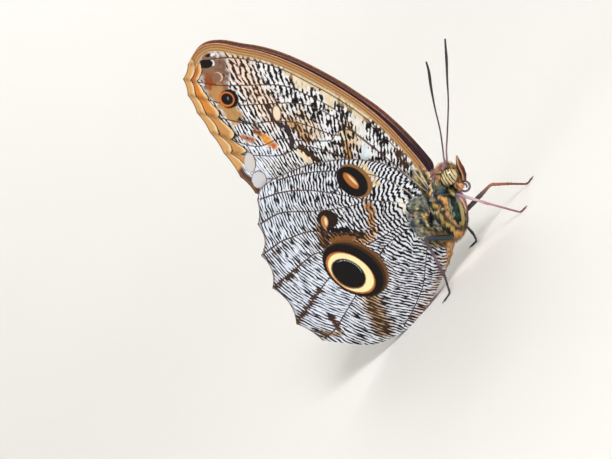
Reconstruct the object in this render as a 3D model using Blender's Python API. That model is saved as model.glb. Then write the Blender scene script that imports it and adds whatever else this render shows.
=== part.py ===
"""Owl butterfly at rest, wings closed over its back: a still, life-size model in solid pieces.

The design plane is X forward and Z up with the median plane at Y = 0, in millimetres, and the
floor that the feet and the hindwing edges rest on is Z = 0. The finished meshes are in metres.
"""
import bmesh
import bpy
import math
from mathutils import Matrix, Vector
from mathutils.geometry import delaunay_2d_cdt

MM = 0.001
GAP = 0.3                      # clearance between neighbouring pieces
CUT = GAP * 1.2                # room cut round the head, the thorax and an eye

# Thorax, collar, head and abdomen, as ellipsoids and a tapered body
THORAX_CENTRE = (14.3, 14.2)   # X, Z
THORAX_PITCH = math.radians(55)
THORAX_LENGTH = 17.2
THORAX_DEPTH = 12.0
THORAX_WIDTH = 9.6
COLLAR_CENTRE = (19.3, 21.4)
COLLAR_SIZE = (5.4, 6.2, 4.6)  # X, Y, Z
HEAD_CENTRE = (22.4, 19.2)
HEAD_SIZE = (4.8, 4.4, 4.8)
EYE_CENTRE = (23.15, 2.25, 19.8)
EYE_SIZE = (5.0, 3.0, 4.1)
ABDOMEN_LINE = [(8.6, 9.2, 2.7), (5.2, 7.3, 2.9), (1.4, 5.4, 2.6), (-2.4, 3.9, 2.0), (-6.0, 2.9, 1.2),
                (-8.0, 2.5, 0.5)]          # X, Z, radius
ABDOMEN_RINGS = 7
RING_DEPTH = 0.05              # share of the radius by which the abdomen's rings swell and dip

# Wing sheets
MEMBRANE = 0.5
VEIN_WIDTH = 1.1
VEIN_HEIGHT = 0.25
VEIN_STEP = 3.6
MARGIN_STEP = 2.6
FILL_STEP = 5.2
BODY_FILL_STEP = 2.3           # the same where a wing bends round the body
ROOT_OFFSET = 3.4              # half the distance between the wings at their roots
TIP_OFFSET = 1.4               # the same at the forewing's tip
WING_REACH = 74.0              # root to tip
BODY_CLEARANCE = GAP + MEMBRANE / 2 + VEIN_HEIGHT   # from the body to a wing's middle surface
ABDOMEN_EXTRA = 0.15           # more room there, for its rings
VEIN_THINNING = 0.65           # share of its height that a vein loses on the way to the margin
HINDWING_OVERLAY = 1.35        # how far the hindwing's middle lies outside the forewing's
HINDWING_DRAW_IN = 1.1         # how far the hindwing's free part draws in again
HINGE = (17.5, 22.0)           # where the wings spring from the thorax

# Forewing: leading edge from root to tip, vein ends round the outer margin, hidden inner margin
FOREWING_FRONT = [(18.6, 21.9), (20.8, 24.2), (22.3, 30.0), (23.2, 35.0), (24.0, 40.2), (24.4, 46.0),
                  (24.3, 51.6), (23.7, 57.6), (22.7, 63.6), (21.5, 69.2), (19.9, 74.7), (17.8, 79.8),
                  (15.2, 84.4), (12.7, 88.9), (9.9, 91.7), (6.6, 92.7), (2.6, 92.1)]
# The left forewing's leading edge stands out a little further near its root: its first seven points
FAR_FRONT_ROOT = [(18.6, 21.9), (20.6, 23.1), (22.0, 24.7), (22.9, 28.2), (23.9, 34.0), (24.5, 39.5),
                  (24.7, 45.5)]
FOREWING_VEIN_ENDS = [(2.6, 92.1), (-1.5, 90.7), (-4.2, 87.0), (-6.4, 82.2), (-8.4, 76.2), (-10.5, 69.9),
                      (-12.8, 62.4), (-13.8, 56.5)]
FOREWING_BACK = [(-13.8, 56.5), (-11.9, 52.3), (-5.0, 44.0), (4.0, 33.4), (11.0, 25.0), (14.4, 20.6),
                 (16.0, 19.2), (18.6, 21.9)]
FOREWING_SCALLOP = 0.35
FOREWING_VEINS = [
    [(17.9, 22.4), (21.4, 31.4), (23.2, 40.6), (23.5, 50.0), (22.6, 59.4), (20.8, 68.2), (18.2, 76.0),
     (14.8, 83.4), (11.6, 89.2)],
    [(17.4, 22.2), (20.2, 34.0), (21.8, 45.4), (21.3, 55.3), (19.8, 64.2), (17.8, 72.6), (14.4, 80.2),
     (9.6, 86.6), (3.2, 91.3)],
    [(18.6, 52.0), (17.4, 60.6), (14.4, 69.6), (8.0, 77.2), (3.4, 82.6), (-0.9, 89.8)],
    [(16.9, 46.8), (16.5, 54.9), (13.7, 62.9), (6.7, 70.8), (1.4, 76.8), (-3.5, 86.3)],
    [(12.9, 50.4), (9.6, 59.4), (4.9, 65.6), (0.2, 70.4), (-5.7, 81.4)],
    [(10.9, 50.5), (5.7, 56.6), (2.6, 61.0), (-3.4, 64.8), (-7.7, 75.5)],
    [(16.6, 22.4), (16.9, 35.0), (16.9, 46.8), (14.8, 50.2), (12.9, 50.4), (10.9, 50.5), (9.1, 46.6),
     (13.0, 35.0), (15.6, 22.2)],
    [(9.1, 46.6), (5.4, 54.4), (-1.6, 58.7), (-9.7, 69.2)],
    [(15.4, 21.4), (8.6, 34.0), (0.6, 46.0), (-6.6, 54.4), (-12.0, 61.6)],
]

# Hindwing: leading edge, vein ends round the scalloped margin, inner margin under the abdomen
HINDWING_FRONT = [(13.9, 18.4), (15.6, 21.4), (16.8, 25.2), (17.0, 29.1), (16.5, 32.7), (15.2, 36.8),
                  (12.4, 41.4), (9.0, 45.4), (5.9, 48.1), (2.7, 50.7), (-1.0, 52.8), (-4.6, 54.5),
                  (-8.0, 55.9), (-11.4, 56.4), (-14.4, 55.2)]
HINDWING_VEIN_ENDS = [(-14.4, 55.2), (-20.5, 50.6), (-27.3, 44.3), (-33.1, 35.9), (-37.2, 24.2),
                      (-36.3, 15.6)]
HINDWING_SCALLOPS = [0.5, 1.5, 1.5, 1.7, 0.6]
HINDWING_BACK = [(-36.3, 15.6), (-34.7, 13.2), (-31.8, 9.1), (-28.5, 4.9), (-24.8, 2.4), (-20.4, 0.8),
                 (-17.2, 0.0), (-12.6, 0.0), (-7.9, 0.5), (-3.1, 1.7), (1.1, 3.1), (4.7, 5.1), (7.3, 7.4)]
HINDWING_ROOT = [(7.3, 7.4), (8.2, 10.4), (9.6, 13.4), (11.6, 16.4), (13.9, 18.4)]
HINDWING_VEINS = [
    [(13.4, 18.8), (13.7, 26.6), (12.6, 32.8), (9.6, 39.0), (4.7, 45.4), (-0.1, 50.1), (-6.6, 54.6)],
    [(13.0, 18.4), (9.9, 25.7), (6.2, 30.9), (2.6, 36.9), (-1.5, 43.9), (-4.8, 48.2), (-8.7, 51.7),
     (-13.6, 54.6)],
    [(4.3, 33.1), (0.4, 35.1), (-6.0, 40.4), (-9.7, 44.3), (-13.7, 48.1), (-19.8, 50.1)],
    [(12.4, 17.8), (6.2, 22.6), (1.2, 25.4), (-5.7, 29.5), (-12.3, 38.1), (-17.8, 41.4), (-20.5, 42.7),
     (-26.6, 44.0)],
    [(11.8, 17.4), (7.6, 20.2), (4.0, 21.2), (-1.7, 23.0), (-6.0, 24.6), (-11.5, 29.1), (-16.3, 32.9),
     (-18.6, 33.8), (-26.3, 34.9), (-32.3, 35.8)],
    [(-6.0, 24.6), (-13.3, 25.9), (-21.1, 25.9), (-29.5, 25.1), (-36.4, 24.3)],
    [(10.8, 15.6), (5.4, 18.6), (0.0, 20.1), (-6.1, 20.1), (-11.5, 19.2), (-17.8, 17.6), (-26.5, 15.9),
     (-31.5, 15.1), (-35.4, 15.6)],
    [(9.4, 13.2), (5.1, 12.0), (0.0, 8.6), (-5.0, 5.3), (-11.3, 3.0), (-18.0, 1.4)],
]

# Legs: coxa at the thorax, knee, shin end, foot joint, foot tip
LEG_SIDES = 8
LEG_RADII = [0.6, 0.58, 0.44, 0.32, 0.28]     # at the root, coxa, knee, shin end and foot tip
COXA_LENGTH = 0.9
FOOT_HEIGHT = 0.18             # middle of a foot, a little lower than its radius, so that it lies on a flat
MIDLEG_RIGHT = [(21.8, -6.3, 16.5), (25.2, -7.0, 8.9), (29.2, -7.2, FOOT_HEIGHT), (31.2, -7.5, FOOT_HEIGHT)]
MIDLEG_LEFT = [(26.4, 6.4, 8.2), (29.4, 7.6, 4.4), (32.2, 9.0, FOOT_HEIGHT), (34.2, 9.9, FOOT_HEIGHT)]
HINDLEG_RIGHT = [(7.2, -7.2, 14.6), (3.0, -9.2, 4.1), (0.6, -10.4, FOOT_HEIGHT), (-1.8, -11.7, FOOT_HEIGHT)]
HINDLEG_LEFT = [(13.8, 7.8, 12.9), (12.2, 7.6, 2.4), (11.2, 7.8, FOOT_HEIGHT), (8.6, 8.4, FOOT_HEIGHT)]
MIDLEG_COXA = (0.16, 0.46, -0.66)    # direction from the thorax's middle: forward, sideways, down
HINDLEG_COXA = (-0.35, 0.42, -0.62)
FORELEG_LINE = [(5.6, -1.2), (4.9, -3.4), (3.0, -4.9), (0.6, -5.4), (-1.6, -5.2)]   # along, across the thorax
FORELEG_THICKNESS = 0.36
FORELEG_STEP = 1.4             # spacing of its rings

# Feelers, palps and coiled tongue
ANTENNA_RIGHT = [(26.2, -1.9, 24.1), (28.0, -2.6, 25.9), (32.3, -4.7, 30.4), (36.6, -7.1, 35.6),
                 (40.6, -9.2, 40.1), (43.9, -10.9, 43.5), (45.7, -11.9, 45.8)]
ANTENNA_LEFT = [(26.0, 1.7, 23.1), (27.4, 2.3, 24.4), (31.7, 4.3, 27.7), (36.9, 6.7, 31.9),
                (40.9, 8.6, 35.7), (44.7, 10.3, 39.2), (48.3, 11.9, 42.8)]
ANTENNA_ROOT = (0.62, 0.22, 0.76)
ANTENNA_STALK = 0.7            # length that leaves the head straight
ANTENNA_STEP = 2.0
ANTENNA_THICKNESS = (0.3, 0.27, 0.27, 0.27, 0.3, 0.4, 0.42, 0.27)
PALP_LINE = [(24.8, 1.15, 16.3), (25.9, 1.2, 17.6), (26.8, 1.2, 19.4), (28.1, 1.15, 21.4)]
PALP_ROOT = (0.52, 0.38, -0.76)
PALP_THICKNESS = (0.6, 0.78, 0.85, 0.65, 0.25)
PALP_STALK = 0.5
PALP_STEP = 0.8
TONGUE_CENTRE = (23.1, 14.5)
TONGUE_RADII = (1.8, 0.6)
TONGUE_THICKNESS = 0.27
TONGUE_TURNS = 1.5
TONGUE_START = math.radians(112)
TONGUE_STEPS = 26

FINISHES = {                   # base colour, roughness, metallic
    "wing_scales": ((0.36, 0.32, 0.27, 1.0), 0.75, 0.0),
    "body_hair": ((0.16, 0.14, 0.09, 1.0), 0.8, 0.0),
    "eye_glaze": ((0.62, 0.5, 0.3, 1.0), 0.25, 0.0),
    "leg_shell": ((0.3, 0.2, 0.22, 1.0), 0.5, 0.0),
}


def clear_scene():
    for item in list(bpy.data.objects):
        bpy.data.objects.remove(item, do_unlink=True)


def finish_material(name):
    material = bpy.data.materials.get(name) or bpy.data.materials.new(name)
    material.use_nodes = True
    colour, roughness, metallic = FINISHES[name]
    shader = material.node_tree.nodes["Principled BSDF"]
    shader.inputs["Base Color"].default_value = colour
    shader.inputs["Roughness"].default_value = roughness
    shader.inputs["Metallic"].default_value = metallic
    return material


def add_piece(name, points, faces, finish):
    """A named object from points in millimetres."""
    mesh = bpy.data.meshes.new(name)
    mesh.from_pydata([Vector(point) * MM for point in points], [], faces)
    body = bmesh.new()
    body.from_mesh(mesh)
    unused = [vertex for vertex in body.verts if not vertex.link_faces]
    bmesh.ops.delete(body, geom=unused, context="VERTS")
    bmesh.ops.recalc_face_normals(body, faces=body.faces)
    bmesh.ops.triangulate(body, faces=body.faces)
    body.to_mesh(mesh)
    body.free()
    mesh.shade_smooth()
    mesh.set_sharp_from_angle(angle=math.radians(50))
    mesh.materials.append(finish_material(finish))
    piece = bpy.data.objects.new(name, mesh)
    bpy.context.scene.collection.objects.link(piece)
    return piece


def combine(piece, other, operation):
    """Joins or cuts one piece by another, applies it and removes the other."""
    modifier = piece.modifiers.new(operation.title(), "BOOLEAN")
    modifier.operation = operation
    modifier.object = other
    modifier.solver = "EXACT"
    bpy.context.view_layer.update()
    graph = bpy.context.evaluated_depsgraph_get()
    mesh = bpy.data.meshes.new_from_object(piece.evaluated_get(graph))
    piece.modifiers.clear()
    piece.data = mesh
    bpy.data.objects.remove(other, do_unlink=True)


def smooth_curve(points, step):
    """Points at about the given spacing along a smooth curve through the given ones."""
    points = [Vector(point) for point in points]
    ends = [2 * points[0] - points[1]] + points + [2 * points[-1] - points[-2]]
    curve = []
    for before, start, end, after in zip(ends, ends[1:], ends[2:], ends[3:]):
        pieces = max(1, round((end - start).length / step))
        for index in range(pieces):
            t = index / pieces
            bend = 2 * before - 5 * start + 4 * end - after
            twist = 3 * start - before - 3 * end + after
            curve.append(0.5 * (2 * start + t * (end - before) + t * t * bend + t * t * t * twist))
    curve.append(points[-1])
    return curve


def scalloped(ends, depths, step):
    """A margin that runs from vein end to vein end and dips in between."""
    margin = []
    middle = sum((Vector(end) for end in ends), Vector((0, 0))) / len(ends)
    inward = Vector((8.0, 30.0)) - middle
    for start, end, depth in zip(ends, ends[1:], depths):
        start, end = Vector(start), Vector(end)
        across = (end - start).orthogonal().normalized()
        if across.dot(inward) < 0:
            across.negate()
        pieces = max(2, round((end - start).length / step))
        for index in range(pieces):
            t = index / pieces
            margin.append(start.lerp(end, t) + across * depth * 4 * t * (1 - t))
    margin.append(Vector(ends[-1]))
    return margin


def smooth_max(a, b, blend=0.5):
    return 0.5 * (a + b + math.sqrt((a - b) ** 2 + blend * blend))


def smooth_step(low, high, value):
    t = min(1.0, max(0.0, (value - low) / (high - low)))
    return t * t * (3 - 2 * t)


def thorax_frame(x, z):
    """A place in the median plane as distances along and across the thorax's axis."""
    dx, dz = x - THORAX_CENTRE[0], z - THORAX_CENTRE[1]
    c, s = math.cos(THORAX_PITCH), math.sin(THORAX_PITCH)
    return dx * c + dz * s, dz * c - dx * s


def thorax_half_width(x, z):
    along, across = thorax_frame(x, z)
    q = (2 * along / THORAX_LENGTH) ** 2 + (2 * across / THORAX_DEPTH) ** 2
    return 0.5 * THORAX_WIDTH * math.sqrt(max(0.0, 1 - q))


def abdomen_half_width(x, z):
    best = 0.0
    for (x0, z0, r0), (x1, z1, r1) in zip(ABDOMEN_LINE, ABDOMEN_LINE[1:]):
        length = math.hypot(x1 - x0, z1 - z0)
        t = ((x - x0) * (x1 - x0) + (z - z0) * (z1 - z0)) / length ** 2
        t = min(1.0, max(0.0, t))
        away = math.hypot(x - x0 - t * (x1 - x0), z - z0 - t * (z1 - z0))
        radius = r0 + t * (r1 - r0)
        best = max(best, math.sqrt(max(0.0, radius * radius - away * away)))
    return best


def forewing_offset(x, z):
    """Distance of the forewing's middle surface from the median plane."""
    reach = math.hypot(x - HINGE[0], z - HINGE[1]) / WING_REACH
    free = TIP_OFFSET + (ROOT_OFFSET - TIP_OFFSET) * (1 - min(1.0, reach) ** 4) - 0.5 * min(reach, 0.3)
    return smooth_max(free, thorax_half_width(x, z) + BODY_CLEARANCE)


def behind_forewing(x, z):
    """How far a place lies behind the forewing's hidden inner margin."""
    start, end = Vector(FOREWING_BACK[1]), Vector(FOREWING_BACK[5])
    along = (end - start).normalized()
    return along.cross(Vector((x, z)) - start) * -1.0


def hindwing_offset(x, z):
    covered = 1 - smooth_step(0.5, 7.0, behind_forewing(x, z))
    drawn = smooth_step(4.0, 26.0, behind_forewing(x, z))
    free = forewing_offset(x, z) + HINDWING_OVERLAY * covered - HINDWING_DRAW_IN * drawn * (1 - covered)
    body = smooth_max(thorax_half_width(x, z), abdomen_half_width(x, z) + ABDOMEN_EXTRA) + BODY_CLEARANCE
    return smooth_max(free, body)


def near_polyline(point, line):
    """Distance to a line of points, and how far along it the nearest place is, from 0 to 1."""
    best, share, run = 1e9, 0.0, 0.0
    total = sum((b - a).length for a, b in zip(line, line[1:]))
    for a, b in zip(line, line[1:]):
        edge = b - a
        t = min(1.0, max(0.0, (point - a).dot(edge) / edge.length_squared))
        away = (point - a - edge * t).length
        if away < best:
            best, share = away, (run + edge.length * t) / total
        run += edge.length
    return best, share


def vein_half_width(taper):
    return 0.5 * VEIN_WIDTH * (0.55 + 0.45 * taper)


def vein_relief(point, veins):
    """Height of the vein ridges at a place on the membrane: full on a vein, thinning to the margin."""
    relief = 0.0
    for vein in veins:
        away, share = near_polyline(point, vein)
        taper = 1 - VEIN_THINNING * share
        relief = max(relief, VEIN_HEIGHT * taper * max(0.0, 1 - away / vein_half_width(taper)))
    return relief


def over_body(point, margin=1.0):
    """Whether a place on a wing lies over the body or within a small margin of it."""
    steps = ((0, 0), (margin, 0), (-margin, 0), (0, margin), (0, -margin))
    spots = [(point.x + dx, point.y + dz) for dx, dz in steps]
    return any(thorax_half_width(x, z) > 0 or abdomen_half_width(x, z) > 0 for x, z in spots)


def wing_plan(outline, veins):
    """Triangles over a wing in its own plane, with edges along each vein's crest and both its feet."""
    points = list(outline)
    edges = [(index, (index + 1) % len(outline)) for index in range(len(outline))]
    for vein in veins:
        for side in (-1, 0, 1):
            first = len(points)
            for index, point in enumerate(vein):
                ahead = vein[min(index + 1, len(vein) - 1)] - vein[max(index - 1, 0)]
                across = Vector((-ahead.y, ahead.x)).normalized()
                taper = 1 - VEIN_THINNING * index / (len(vein) - 1)
                points.append(point + across * vein_half_width(taper) * side)
            edges += [(index, index + 1) for index in range(first, len(points) - 1)]
    low = Vector((min(p.x for p in outline), min(p.y for p in outline)))
    high = Vector((max(p.x for p in outline), max(p.y for p in outline)))
    fixed = list(points)
    for step, by_body in ((BODY_FILL_STEP, True), (FILL_STEP, False)):
        for row in range(int((high.y - low.y) / (step * 0.87)) + 1):
            for column in range(int((high.x - low.x) / step) + 2):
                fill = Vector((low.x + (column + 0.5 * (row % 2)) * step, low.y + (row + 0.5) * step * 0.87))
                if over_body(fill) == by_body and min((fill - other).length for other in fixed) > 0.55 * step:
                    points.append(fill)
    plan, _, faces, _, _, _ = delaunay_2d_cdt(points, edges, [], 1, 1e-4)
    return plan, faces


def wing(name, side, outline, veins, offset):
    """One closed wing sheet: the same triangles on both faces, veins raised on both."""
    lines = [smooth_curve(vein, VEIN_STEP) for vein in veins]
    plan, faces = wing_plan(outline, lines)
    count = len(plan)
    reliefs = [vein_relief(point, lines) for point in plan]
    middles = [offset(point.x, point.y) for point in plan]
    points = []
    for direction in (1, -1):
        for point, relief, middle in zip(plan, reliefs, middles):
            points.append((point.x, side * (middle + direction * (MEMBRANE / 2 + relief)), point.y))
    walls = {}
    for face in faces:
        for a, b in zip(face, face[1:] + face[:1]):
            walls[(a, b)] = True
    skin = [tuple(face) for face in faces]
    skin += [tuple(index + count for index in reversed(face)) for face in faces]
    for a, b in walls:
        if (b, a) not in walls:
            skin += [(b, a, a + count), (b, a + count, b + count)]
    return add_piece(name, points, skin, "wing_scales")


def ellipsoid(name, centre, size, finish, rotation=0.0, grow=0.0, rings=14, sides=20):
    """A closed ellipsoid, turned about Y by the given pitch."""
    turn = Matrix.Rotation(-rotation, 3, "Y")
    points = []
    half = [value / 2 + grow for value in size]
    for ring in range(1, rings):
        polar = math.pi * ring / rings
        for index in range(sides):
            angle = 2 * math.pi * index / sides
            local = Vector((half[0] * math.cos(polar), half[1] * math.sin(polar) * math.sin(angle),
                            half[2] * math.sin(polar) * math.cos(angle)))
            points.append(turn @ local + Vector(centre))
    faces = []
    for ring in range(rings - 2):
        for index in range(sides):
            after = (index + 1) % sides
            faces.append((ring * sides + index, ring * sides + after, (ring + 1) * sides + after,
                          (ring + 1) * sides + index))
    for pole, ring in ((0, 1), (1, -1)):
        points.append(turn @ Vector((half[0] * ring, 0, 0)) + Vector(centre))
        start = 0 if pole == 0 else (rings - 2) * sides
        faces += [(start + index, start + (index + 1) % sides, len(points) - 1) for index in range(sides)]
    return add_piece(name, points, faces, finish)


def tangent(path, index):
    """The way ahead at a point of a path, halfway between the runs that meet there."""
    runs = [path[place + 1] - path[place] for place in (index - 1, index) if 0 <= place < len(path) - 1]
    return sum((run.normalized() for run in runs), Vector((0, 0, 0))).normalized()


def tube(name, path, radii, finish, sides=LEG_SIDES, floor=None):
    """A closed tube of changing thickness along a path, with flat ends."""
    points, faces = [], []
    reference = (path[1] - path[0]).orthogonal().normalized()
    for index, place in enumerate(path):
        ahead = tangent(path, index)
        reference = (reference - ahead * reference.dot(ahead)).normalized()
        other = ahead.cross(reference)
        for step in range(sides):
            angle = 2 * math.pi * (step + 0.5) / sides
            point = place + (reference * math.cos(angle) + other * math.sin(angle)) * radii[index]
            if floor is not None:
                point.z = max(floor, point.z)
            points.append(point)
    for ring in range(len(path) - 1):
        for step in range(sides):
            after = (step + 1) % sides
            faces.append((ring * sides + step, ring * sides + after, (ring + 1) * sides + after,
                          (ring + 1) * sides + step))
    for start, place in ((0, path[0]), ((len(path) - 1) * sides, path[-1])):
        points.append(place.copy())
        if floor is not None:
            points[-1].z = max(floor, points[-1].z)
        faces += [(start + step, start + (step + 1) % sides, len(points) - 1) for step in range(sides)]
    return add_piece(name, points, faces, finish)


def spread(values, count):
    """A short list of sizes read at evenly spaced places."""
    result = []
    for index in range(count):
        place = index / (count - 1) * (len(values) - 1)
        low = min(int(place), len(values) - 2)
        result.append(values[low] + (place - low) * (values[low + 1] - values[low]))
    return result


def jointed(joints, radii):
    """A path of straight runs with each corner cut off flat, as wide as the limb is there, and its radii."""
    joints = [Vector(joint) for joint in joints]
    path, widths = [joints[0]], [radii[0]]
    for before, corner, after, radius in zip(joints, joints[1:], joints[2:], radii[1:]):
        chord = ((corner - before).normalized() + (after - corner).normalized()).normalized()
        path += [corner - chord * radius, corner + chord * radius]
        widths += [radius, radius]
    return path + [joints[-1]], widths + [radii[-1]]


def surface_root(centre, size, direction, pitch=0.0, side=1):
    """Where a limb leaves an ellipsoid: a place one gap outside it, and the way out."""
    turn = Matrix.Rotation(-pitch, 3, "Y")
    local = turn.inverted() @ Vector((direction[0], direction[1] * side, direction[2]))
    half = Vector(size) / 2
    scale = 1 / math.sqrt(sum((local[axis] / half[axis]) ** 2 for axis in range(3)))
    place = local * scale
    normal = Vector([place[axis] / half[axis] ** 2 for axis in range(3)]).normalized()
    return turn @ (place + normal * GAP) + Vector(centre), turn @ normal


def leg(name, side, coxa, joints):
    centre = (THORAX_CENTRE[0], 0, THORAX_CENTRE[1])
    size = (THORAX_LENGTH, THORAX_WIDTH, THORAX_DEPTH)
    root, out = surface_root(centre, size, coxa, THORAX_PITCH, side)
    path, radii = jointed([root, root + out * COXA_LENGTH] + list(joints), LEG_RADII)
    return tube(name, path, radii, "leg_shell", floor=0.0)


def foreleg(name, side):
    """The small folded front leg, laid along the thorax one gap off it."""
    path = []
    c, s = math.cos(THORAX_PITCH), math.sin(THORAX_PITCH)
    half = Vector((THORAX_LENGTH, THORAX_WIDTH, THORAX_DEPTH)) / 2
    for along, across in smooth_curve(FORELEG_LINE, FORELEG_STEP):
        width = half.y * math.sqrt(1 - (along / half.x) ** 2 - (across / half.z) ** 2)
        out = Vector((along / half.x ** 2, width / half.y ** 2, across / half.z ** 2)).normalized()
        spot = Vector((along, width, across)) + out * (GAP + FORELEG_THICKNESS)
        path.append(Vector((THORAX_CENTRE[0] + spot.x * c - spot.z * s, side * spot.y,
                            THORAX_CENTRE[1] + spot.x * s + spot.z * c)))
    radii = spread((GAP, FORELEG_THICKNESS, FORELEG_THICKNESS, GAP), len(path))
    return tube(name, path, radii, "leg_shell", sides=6)


def antenna(name, side, line):
    root, out = surface_root((HEAD_CENTRE[0], 0, HEAD_CENTRE[1]), HEAD_SIZE, ANTENNA_ROOT, side=side)
    path = smooth_curve([root, root + out * ANTENNA_STALK] + list(line), ANTENNA_STEP)
    return tube(name, path, spread(ANTENNA_THICKNESS, len(path)), "leg_shell", sides=6)


def palp(name, side):
    root, out = surface_root((HEAD_CENTRE[0], 0, HEAD_CENTRE[1]), HEAD_SIZE, PALP_ROOT, side=side)
    line = [(x, side * y, z) for x, y, z in PALP_LINE]
    path = smooth_curve([root, root + out * PALP_STALK] + line, PALP_STEP)
    return tube(name, path, spread(PALP_THICKNESS, len(path)), "body_hair", sides=8)


def tongue(name):
    """The coiled tongue: a flat spiral hanging below the face."""
    path = []
    for step in range(TONGUE_STEPS + 1):
        t = step / TONGUE_STEPS
        angle = TONGUE_START - t * TONGUE_TURNS * 2 * math.pi
        radius = TONGUE_RADII[0] + t * (TONGUE_RADII[1] - TONGUE_RADII[0])
        path.append(Vector((TONGUE_CENTRE[0] + radius * math.cos(angle), 0.0,
                            TONGUE_CENTRE[1] + radius * math.sin(angle))))
    return tube(name, path, [TONGUE_THICKNESS] * len(path), "leg_shell", sides=6)


def abdomen(name):
    """Tapered body of shallow rings, its front face one gap behind the thorax."""
    line = smooth_curve([(x, z) for x, z, _ in ABDOMEN_LINE], 0.8)
    radii = spread([radius for _, _, radius in ABDOMEN_LINE], len(line))
    path, sizes = [], []
    for index, (point, radius) in enumerate(zip(line, radii)):
        ring = index / (len(line) - 1) * ABDOMEN_RINGS
        swell = 1 - RING_DEPTH * math.cos(2 * math.pi * ring)
        path.append(Vector((point.x, 0.0, point.y)))
        sizes.append(radius * swell)
    return tube(name, path, sizes, "body_hair", sides=16)


def body_pieces():
    thorax_at = (THORAX_CENTRE[0], 0, THORAX_CENTRE[1])
    head_at = (HEAD_CENTRE[0], 0, HEAD_CENTRE[1])
    thorax_size = (THORAX_LENGTH, THORAX_WIDTH, THORAX_DEPTH)
    collar_at = (COLLAR_CENTRE[0], 0, COLLAR_CENTRE[1])
    thorax = ellipsoid("thorax", thorax_at, thorax_size, "body_hair", THORAX_PITCH, rings=16, sides=24)
    combine(thorax, ellipsoid("collar", collar_at, COLLAR_SIZE, "body_hair", rings=10, sides=16), "UNION")
    head = ellipsoid("head", head_at, HEAD_SIZE, "body_hair", rings=12, sides=16)
    room = ellipsoid("room", head_at, HEAD_SIZE, "body_hair", grow=CUT, rings=12, sides=16)
    combine(thorax, room, "DIFFERENCE")
    for side, suffix in ((1, "left"), (-1, "right")):
        eye_at = (EYE_CENTRE[0], side * EYE_CENTRE[1], EYE_CENTRE[2])
        for body in (head, thorax):
            room = ellipsoid("room", eye_at, EYE_SIZE, "eye_glaze", grow=CUT, rings=12, sides=16)
            combine(body, room, "DIFFERENCE")
        ellipsoid("eye_" + suffix, eye_at, EYE_SIZE, "eye_glaze", rings=12, sides=16)
    tail = abdomen("abdomen")
    room = ellipsoid("room", thorax_at, thorax_size, "body_hair", THORAX_PITCH, CUT, 16, 24)
    combine(tail, room, "DIFFERENCE")


def forewing_outline(front):
    return (smooth_curve(front, MARGIN_STEP)[:-1]
            + scalloped(FOREWING_VEIN_ENDS, [FOREWING_SCALLOP] * 7, MARGIN_STEP)[:-1]
            + smooth_curve(FOREWING_BACK, MARGIN_STEP)[:-1])


def wing_pieces():
    fronts = {1: FAR_FRONT_ROOT + FOREWING_FRONT[6:], -1: FOREWING_FRONT}
    hindwing_outline = (smooth_curve(HINDWING_FRONT, MARGIN_STEP)[:-1]
                        + scalloped(HINDWING_VEIN_ENDS, HINDWING_SCALLOPS, MARGIN_STEP * 0.8)[:-1]
                        + smooth_curve(HINDWING_BACK, MARGIN_STEP)[:-1]
                        + smooth_curve(HINDWING_ROOT, MARGIN_STEP)[:-1])
    for point in hindwing_outline:
        point.y = max(0.0, point.y)
    for side, suffix in ((1, "left"), (-1, "right")):
        wing("forewing_" + suffix, side, forewing_outline(fronts[side]), FOREWING_VEINS, forewing_offset)
        wing("hindwing_" + suffix, side, hindwing_outline, HINDWING_VEINS, hindwing_offset)


def limb_pieces():
    leg("midleg_right", -1, MIDLEG_COXA, MIDLEG_RIGHT)
    leg("midleg_left", 1, MIDLEG_COXA, MIDLEG_LEFT)
    leg("hindleg_right", -1, HINDLEG_COXA, HINDLEG_RIGHT)
    leg("hindleg_left", 1, HINDLEG_COXA, HINDLEG_LEFT)
    for side, suffix in ((1, "left"), (-1, "right")):
        foreleg("foreleg_" + suffix, side)
        palp("palp_" + suffix, side)
    antenna("antenna_right", -1, ANTENNA_RIGHT)
    antenna("antenna_left", 1, ANTENNA_LEFT)
    tongue("proboscis")


def centre_over_origin():
    """Shifts every piece along X so that the origin is under the middle of the whole butterfly."""
    pieces = [item for item in bpy.data.objects if item.type == "MESH"]
    reach = [vertex.co.x for piece in pieces for vertex in piece.data.vertices]
    shift = Matrix.Translation((-0.5 * (min(reach) + max(reach)), 0, 0))
    for piece in pieces:
        piece.data.transform(shift)


clear_scene()
body_pieces()
wing_pieces()
limb_pieces()
centre_over_origin()
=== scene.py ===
"""Owl butterfly at rest, life size: the finish of every surface, laid out as an add-on.

Places are design millimetres, X forward and Z up with the median plane at Y = 0, as on a drawing of the
insect from its side. They become metres in the row frame when a mesh is made.
"""
import math

import bmesh
import bpy
import numpy as np
from mathutils import Matrix, Vector
from mathutils.geometry import delaunay_2d_cdt


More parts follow.
